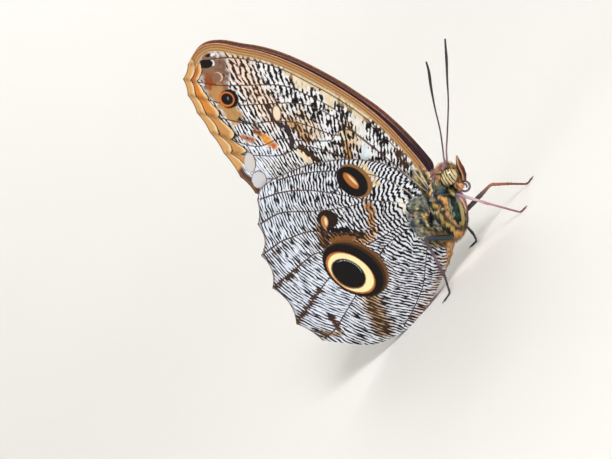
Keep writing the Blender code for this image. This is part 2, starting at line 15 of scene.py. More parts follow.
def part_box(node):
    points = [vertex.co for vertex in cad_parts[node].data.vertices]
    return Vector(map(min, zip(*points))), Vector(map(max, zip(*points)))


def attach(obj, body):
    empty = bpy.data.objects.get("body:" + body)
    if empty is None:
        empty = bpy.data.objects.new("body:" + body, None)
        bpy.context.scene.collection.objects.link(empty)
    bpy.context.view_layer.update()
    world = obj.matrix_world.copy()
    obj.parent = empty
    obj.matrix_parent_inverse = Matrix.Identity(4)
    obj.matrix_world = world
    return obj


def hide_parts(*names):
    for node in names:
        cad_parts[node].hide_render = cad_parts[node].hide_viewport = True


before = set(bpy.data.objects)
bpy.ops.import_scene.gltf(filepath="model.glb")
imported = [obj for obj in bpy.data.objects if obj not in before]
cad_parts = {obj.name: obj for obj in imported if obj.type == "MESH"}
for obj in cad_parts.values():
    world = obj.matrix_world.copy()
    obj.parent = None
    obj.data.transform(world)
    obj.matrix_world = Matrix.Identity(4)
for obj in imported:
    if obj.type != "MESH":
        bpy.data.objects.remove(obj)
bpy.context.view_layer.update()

bl_info = {
    "name": "Owl butterfly finish",
    "version": (1, 0, 0),
    "blender": (4, 5, 0),
    "location": "3D View > Sidebar > Butterfly",
    "description": "Dresses the still butterfly with scaled wings, hair, eyes, feelers and legs",
    "category": "Object",
}

MM = 0.001
EYE_CENTRE = (23.15, 2.25, 19.8)
EYE_SIZE = (5.0, 3.0, 4.1)

# Body, as in the solids
THORAX_CENTRE = (14.3, 14.2)
THORAX_PITCH = math.radians(55)
THORAX_LENGTH = 17.2
THORAX_DEPTH = 12.0
THORAX_WIDTH = 9.6
ABDOMEN_LINE = [(8.6, 9.2, 2.7), (5.2, 7.3, 2.9), (1.4, 5.4, 2.6), (-2.4, 3.9, 2.0), (-6.0, 2.9, 1.2),
                (-8.0, 2.5, 0.5)]

# How far the wings stand from the median plane, as in the solids
ROOT_OFFSET = 3.4
TIP_OFFSET = 1.4
WING_REACH = 74.0
HINDWING_OVERLAY = 1.35
HINDWING_DRAW_IN = 1.1
HINGE = (17.5, 22.0)
BODY_CLEARANCE = 0.8
ABDOMEN_EXTRA = 0.15

# Wing outlines and full-length veins, front to rear, the branches running along their trunk first
FOREWING_FRONT = [(18.6, 21.9), (20.8, 24.2), (22.3, 30.0), (23.2, 35.0), (24.0, 40.2), (24.4, 46.0),
                  (24.3, 51.6), (23.7, 57.6), (22.7, 63.6), (21.5, 69.2), (19.9, 74.7), (17.8, 79.8),
                  (15.2, 84.4), (12.7, 88.9), (9.9, 91.7), (6.6, 92.7), (2.6, 92.1)]
# The left forewing's leading edge stands out a little further near its root: its first seven points
FAR_FRONT_ROOT = [(18.6, 21.9), (20.6, 23.1), (22.0, 24.7), (22.9, 28.2), (23.9, 34.0),
                  (24.5, 39.5), (24.7, 45.5)]
FOREWING_VEIN_ENDS = [(2.6, 92.1), (-1.5, 90.7), (-4.2, 87.0), (-6.4, 82.2), (-8.4, 76.2), (-10.5, 69.9),
                      (-12.8, 62.4), (-13.8, 56.5)]
FOREWING_BACK = [(-13.8, 56.5), (-11.9, 52.3), (-5.0, 44.0), (4.0, 33.4), (11.0, 25.0), (14.4, 20.6),
                 (16.0, 19.2), (18.6, 21.9)]
FOREWING_SCALLOPS = [0.35] * (len(FOREWING_VEIN_ENDS) - 1)
FORE_TRUNK = [(16.6, 22.4), (16.9, 35.0), (16.9, 46.8)]
FORE_CUBITAL = [(15.6, 22.2), (13.0, 35.0), (9.1, 46.6)]
FOREWING_VEINS = [
    [(17.9, 22.4), (21.4, 31.4), (23.2, 40.6), (23.5, 50.0), (22.6, 59.4), (20.8, 68.2), (18.2, 76.0),
     (14.8, 83.4), (11.6, 89.2)],
    [(17.4, 22.2), (20.2, 34.0), (21.8, 45.4), (21.3, 55.3), (19.8, 64.2), (17.8, 72.6), (14.4, 80.2),
     (9.6, 86.6), (3.2, 91.3)],
    FORE_TRUNK + [(18.6, 52.0), (17.4, 60.6), (14.4, 69.6), (8.0, 77.2), (3.4, 82.6), (-0.9, 89.8)],
    FORE_TRUNK + [(16.5, 54.9), (13.7, 62.9), (6.7, 70.8), (1.4, 76.8), (-3.5, 86.3)],
    FORE_TRUNK + [(14.8, 50.2), (12.9, 50.4), (9.6, 59.4), (4.9, 65.6), (0.2, 70.4), (-5.7, 81.4)],
    FORE_TRUNK + [(14.8, 50.2), (12.9, 50.4), (10.9, 50.5), (5.7, 56.6), (2.6, 61.0), (-3.4, 64.8),
                  (-7.7, 75.5)],
    FORE_CUBITAL + [(5.4, 54.4), (-1.6, 58.7), (-9.7, 69.2)],
    [(15.4, 21.4), (8.6, 34.0), (0.6, 46.0), (-6.6, 54.4), (-12.0, 61.6)],
]
FOREWING_CROSS = [(10.9, 50.5), (9.1, 46.6)]

HINDWING_FRONT = [(13.9, 18.4), (15.6, 21.4), (16.8, 25.2), (17.0, 29.1), (16.5, 32.7), (15.2, 36.8),
                  (12.4, 41.4), (9.0, 45.4), (5.9, 48.1), (2.7, 50.7), (-1.0, 52.8), (-4.6, 54.5),
                  (-8.0, 55.9), (-11.4, 56.4), (-14.4, 55.2)]
HINDWING_VEIN_ENDS = [(-14.4, 55.2), (-20.5, 50.6), (-27.3, 44.3), (-33.1, 35.9), (-37.2, 24.2),
                      (-36.3, 15.6)]
HINDWING_SCALLOPS = [0.5, 1.5, 1.5, 1.7, 0.6]
HINDWING_BACK = [(-36.3, 15.6), (-34.7, 13.2), (-31.8, 9.1), (-28.5, 4.9), (-24.8, 2.4), (-20.4, 0.8),
                 (-17.2, 0.0), (-12.6, 0.0), (-7.9, 0.5), (-3.1, 1.7), (1.1, 3.1), (4.7, 5.1), (7.3, 7.4)]
HINDWING_ROOT = [(7.3, 7.4), (8.2, 10.4), (9.6, 13.4), (11.6, 16.4), (13.9, 18.4)]
HIND_FRONT_TRUNK = [(13.0, 18.4), (9.9, 25.7), (6.2, 30.9)]
HIND_REAR_TRUNK = [(11.8, 17.4), (7.6, 20.2), (4.0, 21.2), (-1.7, 23.0), (-6.0, 24.6)]
HINDWING_VEINS = [
    [(13.4, 18.8), (13.7, 26.6), (12.6, 32.8), (9.6, 39.0), (4.7, 45.4), (-0.1, 50.1), (-6.6, 54.6)],
    HIND_FRONT_TRUNK + [(2.6, 36.9), (-1.5, 43.9), (-4.8, 48.2), (-8.7, 51.7), (-13.6, 54.6)],
    HIND_FRONT_TRUNK + [(4.3, 33.1), (0.4, 35.1), (-6.0, 40.4), (-9.7, 44.3), (-13.7, 48.1), (-19.8, 50.1)],
    [(12.4, 17.8), (6.2, 22.6), (1.2, 25.4), (-5.7, 29.5), (-12.3, 38.1), (-17.8, 41.4), (-20.5, 42.7),
     (-26.6, 44.0)],
    HIND_REAR_TRUNK + [(-11.5, 29.1), (-16.3, 32.9), (-18.6, 33.8), (-26.3, 34.9), (-32.3, 35.8)],
    HIND_REAR_TRUNK + [(-13.3, 25.9), (-21.1, 25.9), (-29.5, 25.1), (-36.4, 24.3)],
    [(10.8, 15.6), (5.4, 18.6), (0.0, 20.1), (-6.1, 20.1), (-11.5, 19.2), (-17.8, 17.6), (-26.5, 15.9),
     (-31.5, 15.1), (-35.4, 15.6)],
    [(9.4, 13.2), (5.1, 12.0), (0.0, 8.6), (-5.0, 5.3), (-11.3, 3.0), (-18.0, 1.4)],
]

# From the drawing to the row frame along X, in millimetres
SHIFT = min(corner.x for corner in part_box("hindwing_right")) / MM - min(x for x, _ in HINDWING_VEIN_ENDS)

# Wing meshes
VEIN_HALF_WIDTH = 0.24
LINE_STEP = 0.55
FILL_STEP = 0.62

# Camera, as the photo was taken: turned to the front, a little above the floor, the frame rolled
VIEW_AZIMUTH = math.radians(20)
VIEW_ELEVATION = math.radians(8)
VIEW_ROLL = math.radians(52)
VIEW_DISTANCE = 459.7
VIEW_TARGET = (-13.2, -2.5, 39.6)
LENS = 100


def tone(red, green, blue):
    """A linear colour from display values of 0 to 255."""
    return tuple(((value / 255 + 0.055) / 1.055) ** 2.4 if value > 10 else value / 255 / 12.92
                 for value in (red, green, blue))


# Colours by their display values
BLACK = (12, 9, 9)
UMBER = (58, 36, 24)
BROWN = (104, 66, 36)
CREAM = (236, 218, 184)
BLUE_WHITE = (214, 221, 234)
GREY = (196, 192, 190)


def on_plane(points):
    """Row-frame metres from drawing millimetres."""
    return (np.asarray(points, float) + (SHIFT, 0.0, 0.0)) * MM


def on_drawing(values):
    """Drawing millimetres from a flat run of row-frame metres."""
    return values.reshape(-1, 3) / MM - (SHIFT, 0.0, 0.0)


def as_array(points):
    return np.array([list(point) for point in points])


def smooth_curve(points, step):
    """Points at about the given spacing along a smooth curve through the given ones."""
    points = [np.asarray(point, float) for point in points]
    ends = [2 * points[0] - points[1]] + points + [2 * points[-1] - points[-2]]
    curve = []
    for before, start, end, after in zip(ends, ends[1:], ends[2:], ends[3:]):
        pieces = max(1, round(float(np.linalg.norm(end - start)) / step))
        for t in np.arange(pieces) / pieces:
            curve.append(0.5 * (2 * start + t * (end - before)
                                + t * t * (2 * before - 5 * start + 4 * end - after)
                                + t * t * t * (3 * start - before - 3 * end + after)))
    curve.append(points[-1])
    return np.array(curve)


def scalloped(ends, depths, step):
    """A margin from vein end to vein end that dips in between."""
    inward = np.array((8.0, 30.0)) - np.mean(ends, axis=0)
    margin = []
    for start, end, depth in zip(ends, ends[1:], depths):
        start, end = np.array(start), np.array(end)
        across = np.array((start[1] - end[1], end[0] - start[0])) / np.linalg.norm(end - start)
        across *= math.copysign(1.0, across @ inward)
        pieces = round(float(np.linalg.norm(end - start)) / step)
        for t in np.arange(pieces) / pieces:
            margin.append(start + (end - start) * t + across * depth * 4 * t * (1 - t))
    margin.append(np.array(ends[-1]))
    return np.array(margin)


def smooth_step(low, high, value):
    t = np.clip((value - low) / (high - low), 0, 1)
    return t * t * (3 - 2 * t)


def smooth_max(a, b, blend=0.5):
    return 0.5 * (a + b + np.sqrt((a - b) ** 2 + blend * blend))


def near_line(points, line):
    """Distance from each point to a line of points, the run along it, and which side: 1 on its rear side."""
    line = np.asarray(line, float)
    best = np.full(len(points), 1e9)
    run = np.zeros(len(points))
    side = np.zeros(len(points))
    start = 0.0
    for a, b in zip(line, line[1:]):
        edge = b - a
        length = float(np.linalg.norm(edge))
        t = np.clip((points - a) @ edge / length ** 2, 0, 1)
        away = points - a - t[:, None] * edge
        distance = np.linalg.norm(away, axis=1)
        closer = distance < best - 1e-9
        best[closer] = distance[closer]
        run[closer] = (start + t * length)[closer]
        turn = edge[0] * (points - a)[:, 1] - edge[1] * (points - a)[:, 0]
        side[closer] = (turn > 0)[closer]
        start += length
    return best, run, side


def thorax_half_width(points):
    dx, dz = points[:, 0] - THORAX_CENTRE[0], points[:, 1] - THORAX_CENTRE[1]
    c, s = math.cos(THORAX_PITCH), math.sin(THORAX_PITCH)
    q = (2 * (dx * c + dz * s) / THORAX_LENGTH) ** 2 + (2 * (dz * c - dx * s) / THORAX_DEPTH) ** 2
    return 0.5 * THORAX_WIDTH * np.sqrt(np.maximum(0, 1 - q))


def abdomen_half_width(points):
    best = np.zeros(len(points))
    for (x0, z0, r0), (x1, z1, r1) in zip(ABDOMEN_LINE, ABDOMEN_LINE[1:]):
        away, run, _ = near_line(points, [(x0, z0), (x1, z1)])
        radius = r0 + run / math.hypot(x1 - x0, z1 - z0) * (r1 - r0)
        best = np.maximum(best, np.sqrt(np.maximum(0, radius * radius - away * away)))
    return best


def forewing_offset(points):
    """Distance of the forewing's middle surface from the median plane."""
    reach = np.hypot(points[:, 0] - HINGE[0], points[:, 1] - HINGE[1]) / WING_REACH
    free = TIP_OFFSET + (ROOT_OFFSET - TIP_OFFSET) * (1 - np.minimum(1, reach) ** 4)
    free = free - 0.5 * np.minimum(reach, 0.3)
    return smooth_max(free, thorax_half_width(points) + BODY_CLEARANCE)


def hindwing_offset(points):
    start, end = np.array(FOREWING_BACK[1]), np.array(FOREWING_BACK[5])
    along = (end - start) / np.linalg.norm(end - start)
    behind = -(along[0] * (points - start)[:, 1] - along[1] * (points - start)[:, 0])
    covered = 1 - smooth_step(0.5, 7.0, behind)
    drawn = smooth_step(4.0, 26.0, behind)
    free = forewing_offset(points) + HINDWING_OVERLAY * covered - HINDWING_DRAW_IN * drawn * (1 - covered)
    body = smooth_max(thorax_half_width(points), abdomen_half_width(points) + ABDOMEN_EXTRA) + BODY_CLEARANCE
    return smooth_max(free, body)


class Wire:
    """A node's output that takes arithmetic: each sum or product adds a Math node."""

    def __init__(self, graph, socket):
        self.graph = graph
        self.socket = socket

    def math(self, operation, *values):
        return self.graph.node("ShaderNodeMath", {"operation": operation}, *values)

    def __add__(self, other):
        return self.math("ADD", self, other)

    def __sub__(self, other):
        return self.math("SUBTRACT", self, other)

    def __rsub__(self, other):
        return self.math("SUBTRACT", other, self)

    def __mul__(self, other):
        return self.math("MULTIPLY", self, other)

    __radd__ = __add__

    def clamp(self):
        return self.graph.node("ShaderNodeClamp", {}, self)

    def sin(self):
        return self.math("SINE", self)

    def abs(self):
        return self.math("ABSOLUTE", self)

    def below(self, limit, soft=0.12):
        """1 where this is under the limit, with a soft step that wide."""
        return ((limit - self) * (1 / soft) + 0.5).clamp()


class Graph:
    """A material's node tree, written as expressions."""

    def __init__(self, name):
        self.material = bpy.data.materials.new(name)
        self.material.use_nodes = True
        self.tree = self.material.node_tree
        self.shader = self.tree.nodes["Principled BSDF"]

    def node(self, kind, settings, *values, output=0, **named):
        node = self.tree.nodes.new(kind)
        for key, value in settings.items():
            if key == "stops":
                fill_ramp(node.color_ramp, value)
            else:
                setattr(node, key, value)
        for key, value in list(enumerate(values)) + list(named.items()):
            self.feed(node.inputs[key], value)
        return Wire(self, node.outputs[output])

    def feed(self, socket, value):
        if isinstance(value, Wire):
            self.tree.links.new(value.socket, socket)
        elif value is not None:
            if socket.type == "RGBA" and len(value) == 3:
                value = (*value, 1.0)
            socket.default_value = value

    def set(self, **values):
        """Feeds the surface shader's sockets, an underscore standing for a space in their names."""
        for key, value in values.items():
            self.feed(self.shader.inputs[key.replace("_", " ")], value)

    def mix(self, factor, a, b):
        return self.node("ShaderNodeMix", {"data_type": "RGBA"}, factor, None, None, None, None, None, a, b,
                         output=2)

    def tint(self, colour, factor):
        """A colour made lighter or darker by a number."""
        return self.node("ShaderNodeVectorMath", {"operation": "SCALE"}, colour, Scale=factor)

    def vector(self, x, y, z=0.0):
        return self.node("ShaderNodeCombineXYZ", {}, x, y, z)

    def parts(self, vector):
        split = self.node("ShaderNodeSeparateXYZ", {}, vector).socket.node
        return [Wire(self, socket) for socket in split.outputs]

    def place(self, flat=False):
        """The place on the drawing, in millimetres, and with flat its Y left out."""
        spot = self.node("ShaderNodeTexCoord", {}, output="Object")
        keep = 0.0 if flat else 1 / MM
        return self.node("ShaderNodeVectorMath", {"operation": "MULTIPLY_ADD"}, spot, (1 / MM, keep, 1 / MM),
                         (-SHIFT, 0.0, 0.0))

    def field(self, name, output="Fac"):
        return self.node("ShaderNodeAttribute", {"attribute_name": name}, output=output)

    def noise(self, vector, scale, detail=2.0, roughness=0.5):
        return self.node("ShaderNodeTexNoise", {}, Vector=vector, Scale=scale, Detail=detail,
                         Roughness=roughness)

    def oval(self, place, centre, halves, turn=0.0):
        """Distance from an oval's centre in shares of its half sizes, along the drawing's X and Z."""
        local = self.node("ShaderNodeMapping", {"vector_type": "TEXTURE"}, place, (centre[0], 0, centre[1]),
                          (0, math.radians(turn), 0), (halves[0], 1, halves[1]))
        return self.node("ShaderNodeVectorMath", {"operation": "LENGTH"}, local, output="Value")

    def bump(self, height, strength, distance=0.1):
        return self.node("ShaderNodeBump", {}, Strength=strength, Distance=distance * MM, Height=height)


def fill_ramp(ramp, stops):
    """Puts (place, colour) stops on a colour ramp."""
    while len(ramp.elements) > 1:
        ramp.elements.remove(ramp.elements[-1])
    for index, (place, colour) in enumerate(stops):
        stop = ramp.elements[0] if index == 0 else ramp.elements.new(place)
        stop.position = place
        stop.color = (*colour, 1.0)


def mark(line, width, soft, pale=None, dark=None, share=None, strength=1.0):
    """A soft wash along a line: half width and softness in mm, colours, and the share of dark stripes."""
    return {"line": line, "width": width, "soft": soft, "pale": pale and tone(*pale),
            "dark": dark and tone(*dark), "share": share, "strength": strength}


# Soft washes on the wings, painted in order
FOREWING_WASHES = [
    mark([(11.6, 82.7), (9.1, 76.0), (7.9, 71.1), (7.0, 66.0)], 0.8, 4.5, (226, 188, 150), (66, 34, 20),
         strength=0.6),
    mark([(16.6, 80.0), (13.0, 87.0)], 0.6, 3.0, (196, 172, 140), share=0.44, strength=0.7),
    mark([(18.6, 70.6), (19.6, 66.6), (20.4, 62.6), (21.2, 58.8), (21.9, 54.6), (21.7, 47.0)], 0.95, 0.6,
         (206, 190, 158), (150, 128, 98), 0.12),
    mark([(20.4, 59.2), (18.7, 56.4)], 0.6, 0.9, (208, 192, 160), share=0.18),
    mark([(17.8, 68.4), (17.9, 65.0)], 0.5, 1.0, (216, 200, 172), share=0.3),
    mark([(19.0, 63.6), (19.5, 62.2), (20.4, 60.9)], 0.15, 0.5, dark=(52, 30, 34), share=0.68),
    mark([(18.0, 69.3), (15.6, 67.0)], 0.3, 0.5, share=0.72),
    mark([(14.9, 65.2), (13.1, 63.6)], 0.3, 0.4, share=0.72),
    mark([(17.9, 61.6), (15.8, 59.7), (13.4, 57.9), (11.6, 56.6)], 0.22, 0.4, share=0.74),
    mark([(19.1, 60.2), (17.3, 58.5), (14.9, 56.6)], 0.2, 0.4, share=0.68),
    mark([(20.8, 55.2), (19.9, 53.3), (18.5, 51.7)], 0.8, 0.7, share=0.68),
    mark([(21.4, 53.4), (21.1, 51.6)], 0.45, 0.6, share=0.68),
    mark([(15.0, 52.1), (15.6, 50.2), (16.7, 48.1)], 0.5, 0.6, share=0.68),
    mark([(13.9, 48.9), (13.0, 47.7), (11.3, 47.0), (9.7, 45.7)], 0.4, 0.6, share=0.68),
    mark([(19.4, 49.0), (19.0, 46.3), (16.9, 45.0), (15.4, 44.3)], 0.75, 0.9, (212, 210, 204), share=0.2),
    mark([(15.2, 42.0), (13.4, 40.3)], 0.7, 0.7, (206, 218, 224), share=0.12),
    mark([(11.3, 55.6), (9.1, 51.2)], 0.5, 0.8, (212, 220, 226), share=0.3),
    mark([(21.5, 46.6), (20.8, 43.0), (20.1, 39.8)], 0.55, 0.6, share=0.68),
    mark([(20.1, 39.6), (18.5, 38.2), (16.4, 37.6)], 0.6, 0.8, share=0.68),
    mark([(20.2, 34.6), (18.3, 31.3)], 0.8, 0.7, dark=UMBER, share=0.8),
    mark([(16.4, 49.1), (14.2, 45.7)], 1.0, 1.8, (212, 188, 156), share=0.6),
    mark([(12.9, 46.6), (11.0, 44.0)], 0.5, 0.8, (190, 148, 92), (56, 32, 16), 0.55),
    mark([(11.6, 61.0), (11.2, 56.9), (10.0, 54.0)], 0.7, 1.4, (206, 172, 120), (44, 26, 16), 0.6,
         strength=0.6),
    mark([(8.4, 61.6), (8.2, 58.4), (7.6, 55.6)], 0.9, 1.3, (176, 130, 66), (58, 34, 14), 0.6, strength=0.85),
    mark([(3.2, 54.6), (3.2, 51.2)], 0.55, 0.5, (222, 202, 166), share=0.12),
    mark([(4.5, 55.4), (4.4, 51.9), (4.5, 49.0)], 0.4, 0.4, dark=UMBER, share=1.0),
    mark([(7.6, 69.2), (6.2, 66.7), (5.7, 64.3), (6.3, 61.6), (5.7, 59.6), (2.8, 57.0)], 0.24, 0.3,
         dark=(52, 40, 44), share=1.0),
    mark([(-9.0, 66.0), (-9.4, 60.0), (-11.6, 56.0)], 2.2, 3.0, BLUE_WHITE, share=0.34),
    mark([(-4.6, 65.6), (-3.5, 62.3), (-2.7, 59.5)], 0.9, 1.4, BLUE_WHITE, share=0.38),
    mark([(1.2, 73.0), (-1.4, 68.6)], 0.5, 1.0, (216, 222, 230), share=0.5),
    mark([(6.4, 87.4), (3.8, 84.0), (2.6, 82.0)], 2.7, 0.9, (128, 94, 72), share=0.0),
    mark([(9.4, 85.8), (6.6, 82.6)], 0.7, 1.0, (112, 84, 68), share=0.2),
    mark([(1.8, 82.0), (1.0, 78.0), (-0.4, 73.6)], 1.8, 0.8, (170, 128, 78), share=0.0),
    mark([(2.9, 85.2), (2.3, 84.2)], 0.7, 1.1, (136, 62, 20), share=0.0),
    mark([(0.2, 72.4), (0.6, 70.6)], 0.15, 0.9, (96, 90, 90), share=0.66),
    mark([(0.7, 68.0), (0.8, 65.4)], 0.5, 0.7, dark=UMBER, share=0.85),
    mark([(0.3, 66.8), (0.2, 63.4), (0.1, 60.9)], 0.6, 0.7, (196, 124, 40), share=0.05),
    mark([(0.2, 67.6), (0.3, 66.4)], 0.3, 0.9, (112, 66, 24), share=0.35),
    mark([(0.3, 63.8), (0.1, 62.4)], 0.2, 0.6, (224, 158, 60), share=0.0),
    mark([(-0.1, 61.2), (-0.2, 60.6)], 0.25, 0.5, (176, 84, 40), share=0.1),
    mark([(-3.2, 68.5), (-2.6, 66.2)], 0.5, 0.7, (160, 96, 54), share=0.3),
    mark([(21.1, 29.6), (18.6, 23.3)], 0.6, 0.25, (34, 44, 46), (16, 18, 24)),
    mark([(18.6, 26.4), (16.6, 22.8), (14.8, 20.4)], 1.2, 1.0, (74, 74, 54), share=0.12),
    mark([(22.4, 30.7), (20.7, 24.8), (19.2, 22.6), (18.1, 21.6)], 0.25, 0.25, (212, 164, 92), share=0.0),
    mark([(20.3, 29.6), (19.2, 26.4), (18.1, 23.6)], 0.18, 0.2, (200, 172, 104), share=0.0),
    mark([(18.6, 27.5), (16.6, 24.4), (13.5, 21.1)], 0.2, 0.2, (204, 176, 116), share=0.0),
    mark([(18.2, 23.4), (17.7, 22.7)], 0.4, 0.25, (24, 32, 46), share=0.6),
]
HINDWING_WASHES = [
    mark([(-13.9, 52.0), (-19.6, 45.2), (-25.0, 37.0), (-27.5, 27.0), (-29.0, 20.0)], 3.0, 9.0, BLUE_WHITE,
         (26, 25, 28), 0.47),
    mark([(-20.0, 28.0), (-23.0, 20.0)], 3.0, 3.0, BLUE_WHITE, share=0.44),
    mark([(-28.8, 43.6), (-24.2, 42.0), (-19.0, 40.6)], 0.1, 1.0, dark=UMBER, share=0.68),
    mark([(-33.6, 35.8), (-27.7, 34.6), (-21.7, 33.8)], 0.1, 1.1, dark=UMBER, share=0.7),
    mark([(-36.4, 24.3), (-29.3, 25.0), (-24.5, 25.7)], 0.2, 1.2, dark=UMBER, share=0.72),
    mark([(9.1, 36.6), (8.3, 33.6), (6.8, 32.0)], 0.22, 0.3, dark=BLACK, share=1.0),
    mark([(8.0, 35.0), (7.2, 33.6)], 0.25, 0.3, CREAM, share=0.0),
    mark([(10.6, 25.6), (8.6, 22.9)], 0.5, 0.9, (232, 226, 214), share=0.25),
    mark([(5.2, 6.2), (0.2, 3.6), (-6.9, 1.2), (-14.3, 0.4)], 0.4, 1.6, (206, 160, 128), (70, 44, 32),
         strength=0.45),
    mark([(-17.4, 13.2), (-20.0, 9.2), (-22.4, 5.0)], 0.9, 2.8, (176, 146, 108), (50, 32, 20), 0.62),
    mark([(-29.1, 18.0), (-30.3, 14.7)], 0.4, 0.7, BROWN, UMBER, 0.62),
    mark([(-34.0, 17.6), (-32.8, 14.4), (-31.1, 13.0)], 0.3, 0.6, (166, 132, 92), share=0.5),
    mark([(-34.8, 19.6), (-34.6, 15.6)], 0.2, 0.6, BROWN, share=0.6),
    mark([(-9.8, 36.8), (-12.4, 33.6), (-13.6, 31.0)], 0.9, 1.1, (140, 98, 56), (44, 26, 16), 0.62),
    mark([(-9.9, 32.6), (-6.4, 29.0), (-4.6, 26.6)], 1.3, 0.9, (122, 82, 46), (30, 20, 14), 0.72),
    mark([(-10.7, 31.8), (-7.2, 28.9)], 0.85, 0.6, (120, 76, 38), share=0.1),
    mark([(3.8, 32.0), (2.4, 29.2), (0.9, 28.3), (-1.4, 25.6), (-3.4, 25.0), (-6.2, 26.4)], 0.5, 1.1,
         (188, 146, 98), (48, 28, 16), 0.52),
    mark([(3.8, 31.2), (3.6, 30.4)], 0.8, 0.5, (166, 118, 66), share=0.4),
    mark([(-8.7, 35.2), (-7.5, 32.9), (-5.6, 31.4)], 0.35, 0.35, dark=BLACK, share=1.0),
    mark([(11.6, 39.6), (11.2, 36.6), (9.9, 33.2)], 0.25, 0.8, (206, 180, 132), share=0.12),
    mark([(6.2, 12.0), (7.5, 10.3), (9.1, 8.6)], 0.9, 1.0, (160, 136, 88), (62, 50, 26), 0.55),
    mark([(12.6, 20.8), (9.8, 18.4), (8.2, 15.4), (8.4, 13.0)], 2.3, 1.5, (84, 88, 68), (26, 34, 32), 0.15,
         strength=0.9),
    mark([(8.3, 21.2), (8.8, 20.2)], 0.35, 0.3, (28, 34, 30), share=0.0),
    mark([(6.7, 19.3), (7.0, 18.3)], 0.5, 0.4, (46, 60, 70), share=0.0),
]
# Where the wings' roots are mottled
ROOT_ZONE = [(18.6, 26.4), (12.6, 20.8), (9.8, 18.4), (8.2, 15.4), (8.4, 13.0)]
# Marks that run on from the hindwing's root to the thorax behind it
ROOT_WASHES = [
    mark([(11.4, 20.6), (12.5, 18.9)], 0.42, 0.35, (16, 26, 26), share=0.0),
    mark([(11.5, 20.4), (12.4, 19.1)], 0.15, 0.3, (60, 108, 92), share=0.0),
    mark([(12.7, 21.9), (11.1, 20.9), (10.0, 20.4), (9.1, 19.1), (7.9, 17.9), (7.3, 16.9)], 0.14, 0.2,
         (208, 192, 142), share=0.0),
    mark([(13.6, 19.2), (13.6, 18.0), (13.9, 16.3)], 0.14, 0.2, (214, 184, 146), share=0.0),
    mark([(11.4, 18.7), (11.2, 17.8), (11.9, 17.9)], 0.35, 0.25, (230, 174, 100), share=0.0),
    mark([(12.2, 17.1), (11.0, 16.0), (10.3, 15.5)], 0.62, 0.25, (16, 14, 22), share=0.0),
    mark([(12.8, 15.3), (12.8, 14.3)], 0.3, 0.2, (22, 22, 30), share=0.0),
    mark([(11.8, 15.0), (11.8, 14.0)], 0.25, 0.2, (150, 152, 146), share=0.0),
    mark([(10.4, 17.2), (9.5, 15.9), (9.3, 14.8), (9.6, 13.9)], 0.16, 0.2, (208, 190, 130), share=0.0),
    mark([(9.3, 17.9), (8.8, 16.4)], 0.36, 0.3, (18, 44, 46), share=0.0),
    mark([(9.4, 20.5), (9.8, 19.7)], 0.12, 0.2, (228, 184, 146), share=0.0),
    mark([(6.9, 16.6), (5.6, 15.8), (4.0, 15.3)], 0.12, 0.2, (196, 186, 140), share=0.0),
    mark([(7.6, 16.2), (6.5, 14.7), (5.5, 13.5)], 0.12, 0.2, (180, 170, 122), share=0.0),
    mark([(10.2, 14.4), (10.9, 13.1), (11.5, 11.7)], 0.1, 0.16, (226, 210, 190), share=0.0),
    mark([(7.9, 14.7), (9.7, 12.2), (11.4, 10.4)], 0.28, 0.25, (156, 126, 76), share=0.0),
    mark([(11.7, 12.0), (12.2, 10.5), (11.8, 9.2)], 0.4, 0.25, (14, 12, 20), share=0.0),
]
HINDWING_WASHES += ROOT_WASHES

# Crisp ovals, painted in order: centre, half sizes along and across, turn, colour, ruffle
FOREWING_OVALS = [
    ((8.0, 89.7), (1.05, 0.62), 50, BLACK, 0.15),
    ((9.15, 88.6), (0.75, 0.42), 20, BLUE_WHITE, 0.2),
    ((5.75, 88.6), (1.95, 1.15), 50, BLACK, 0.15),
    ((7.3, 87.3), (0.5, 0.8), 30, BLUE_WHITE, 0.2),
    ((6.5, 88.05), (1.2, 0.9), 50, BLACK, 0.1),
    ((5.2, 83.9), (1.35, 1.35), 0, (206, 170, 140), 0.12),
    ((4.85, 84.1), (1.3, 1.3), 0, (128, 94, 72), 0.12),
    ((2.5, 78.0), (2.6, 2.6), 0, BLACK, 0.25),
    ((2.0, 78.4), (2.05, 2.1), 0, (192, 104, 44), 0.08),
    ((2.1, 78.35), (1.55, 1.65), 0, BLACK, 0.05),
    ((2.4, 78.3), (0.25, 0.45), 40, (96, 110, 128), 0.0),
    ((7.5, 65.9), (1.3, 2.35), 45, (66, 44, 32), 0.12),
    ((7.7, 65.9), (0.98, 2.0), 45, (226, 206, 178), 0.12),
]
LUNULES = [
    ((-7.7, 63.0), (1.62, 2.95), 46, (92, 76, 68), 0.3),
    ((-7.85, 63.0), (1.42, 2.7), 46, GREY, 0.3),
    ((-9.9, 58.2), (2.1, 2.5), 50, (84, 70, 66), 0.35),
    ((-10.05, 58.15), (1.92, 2.3), 50, (196, 196, 202), 0.35),
]
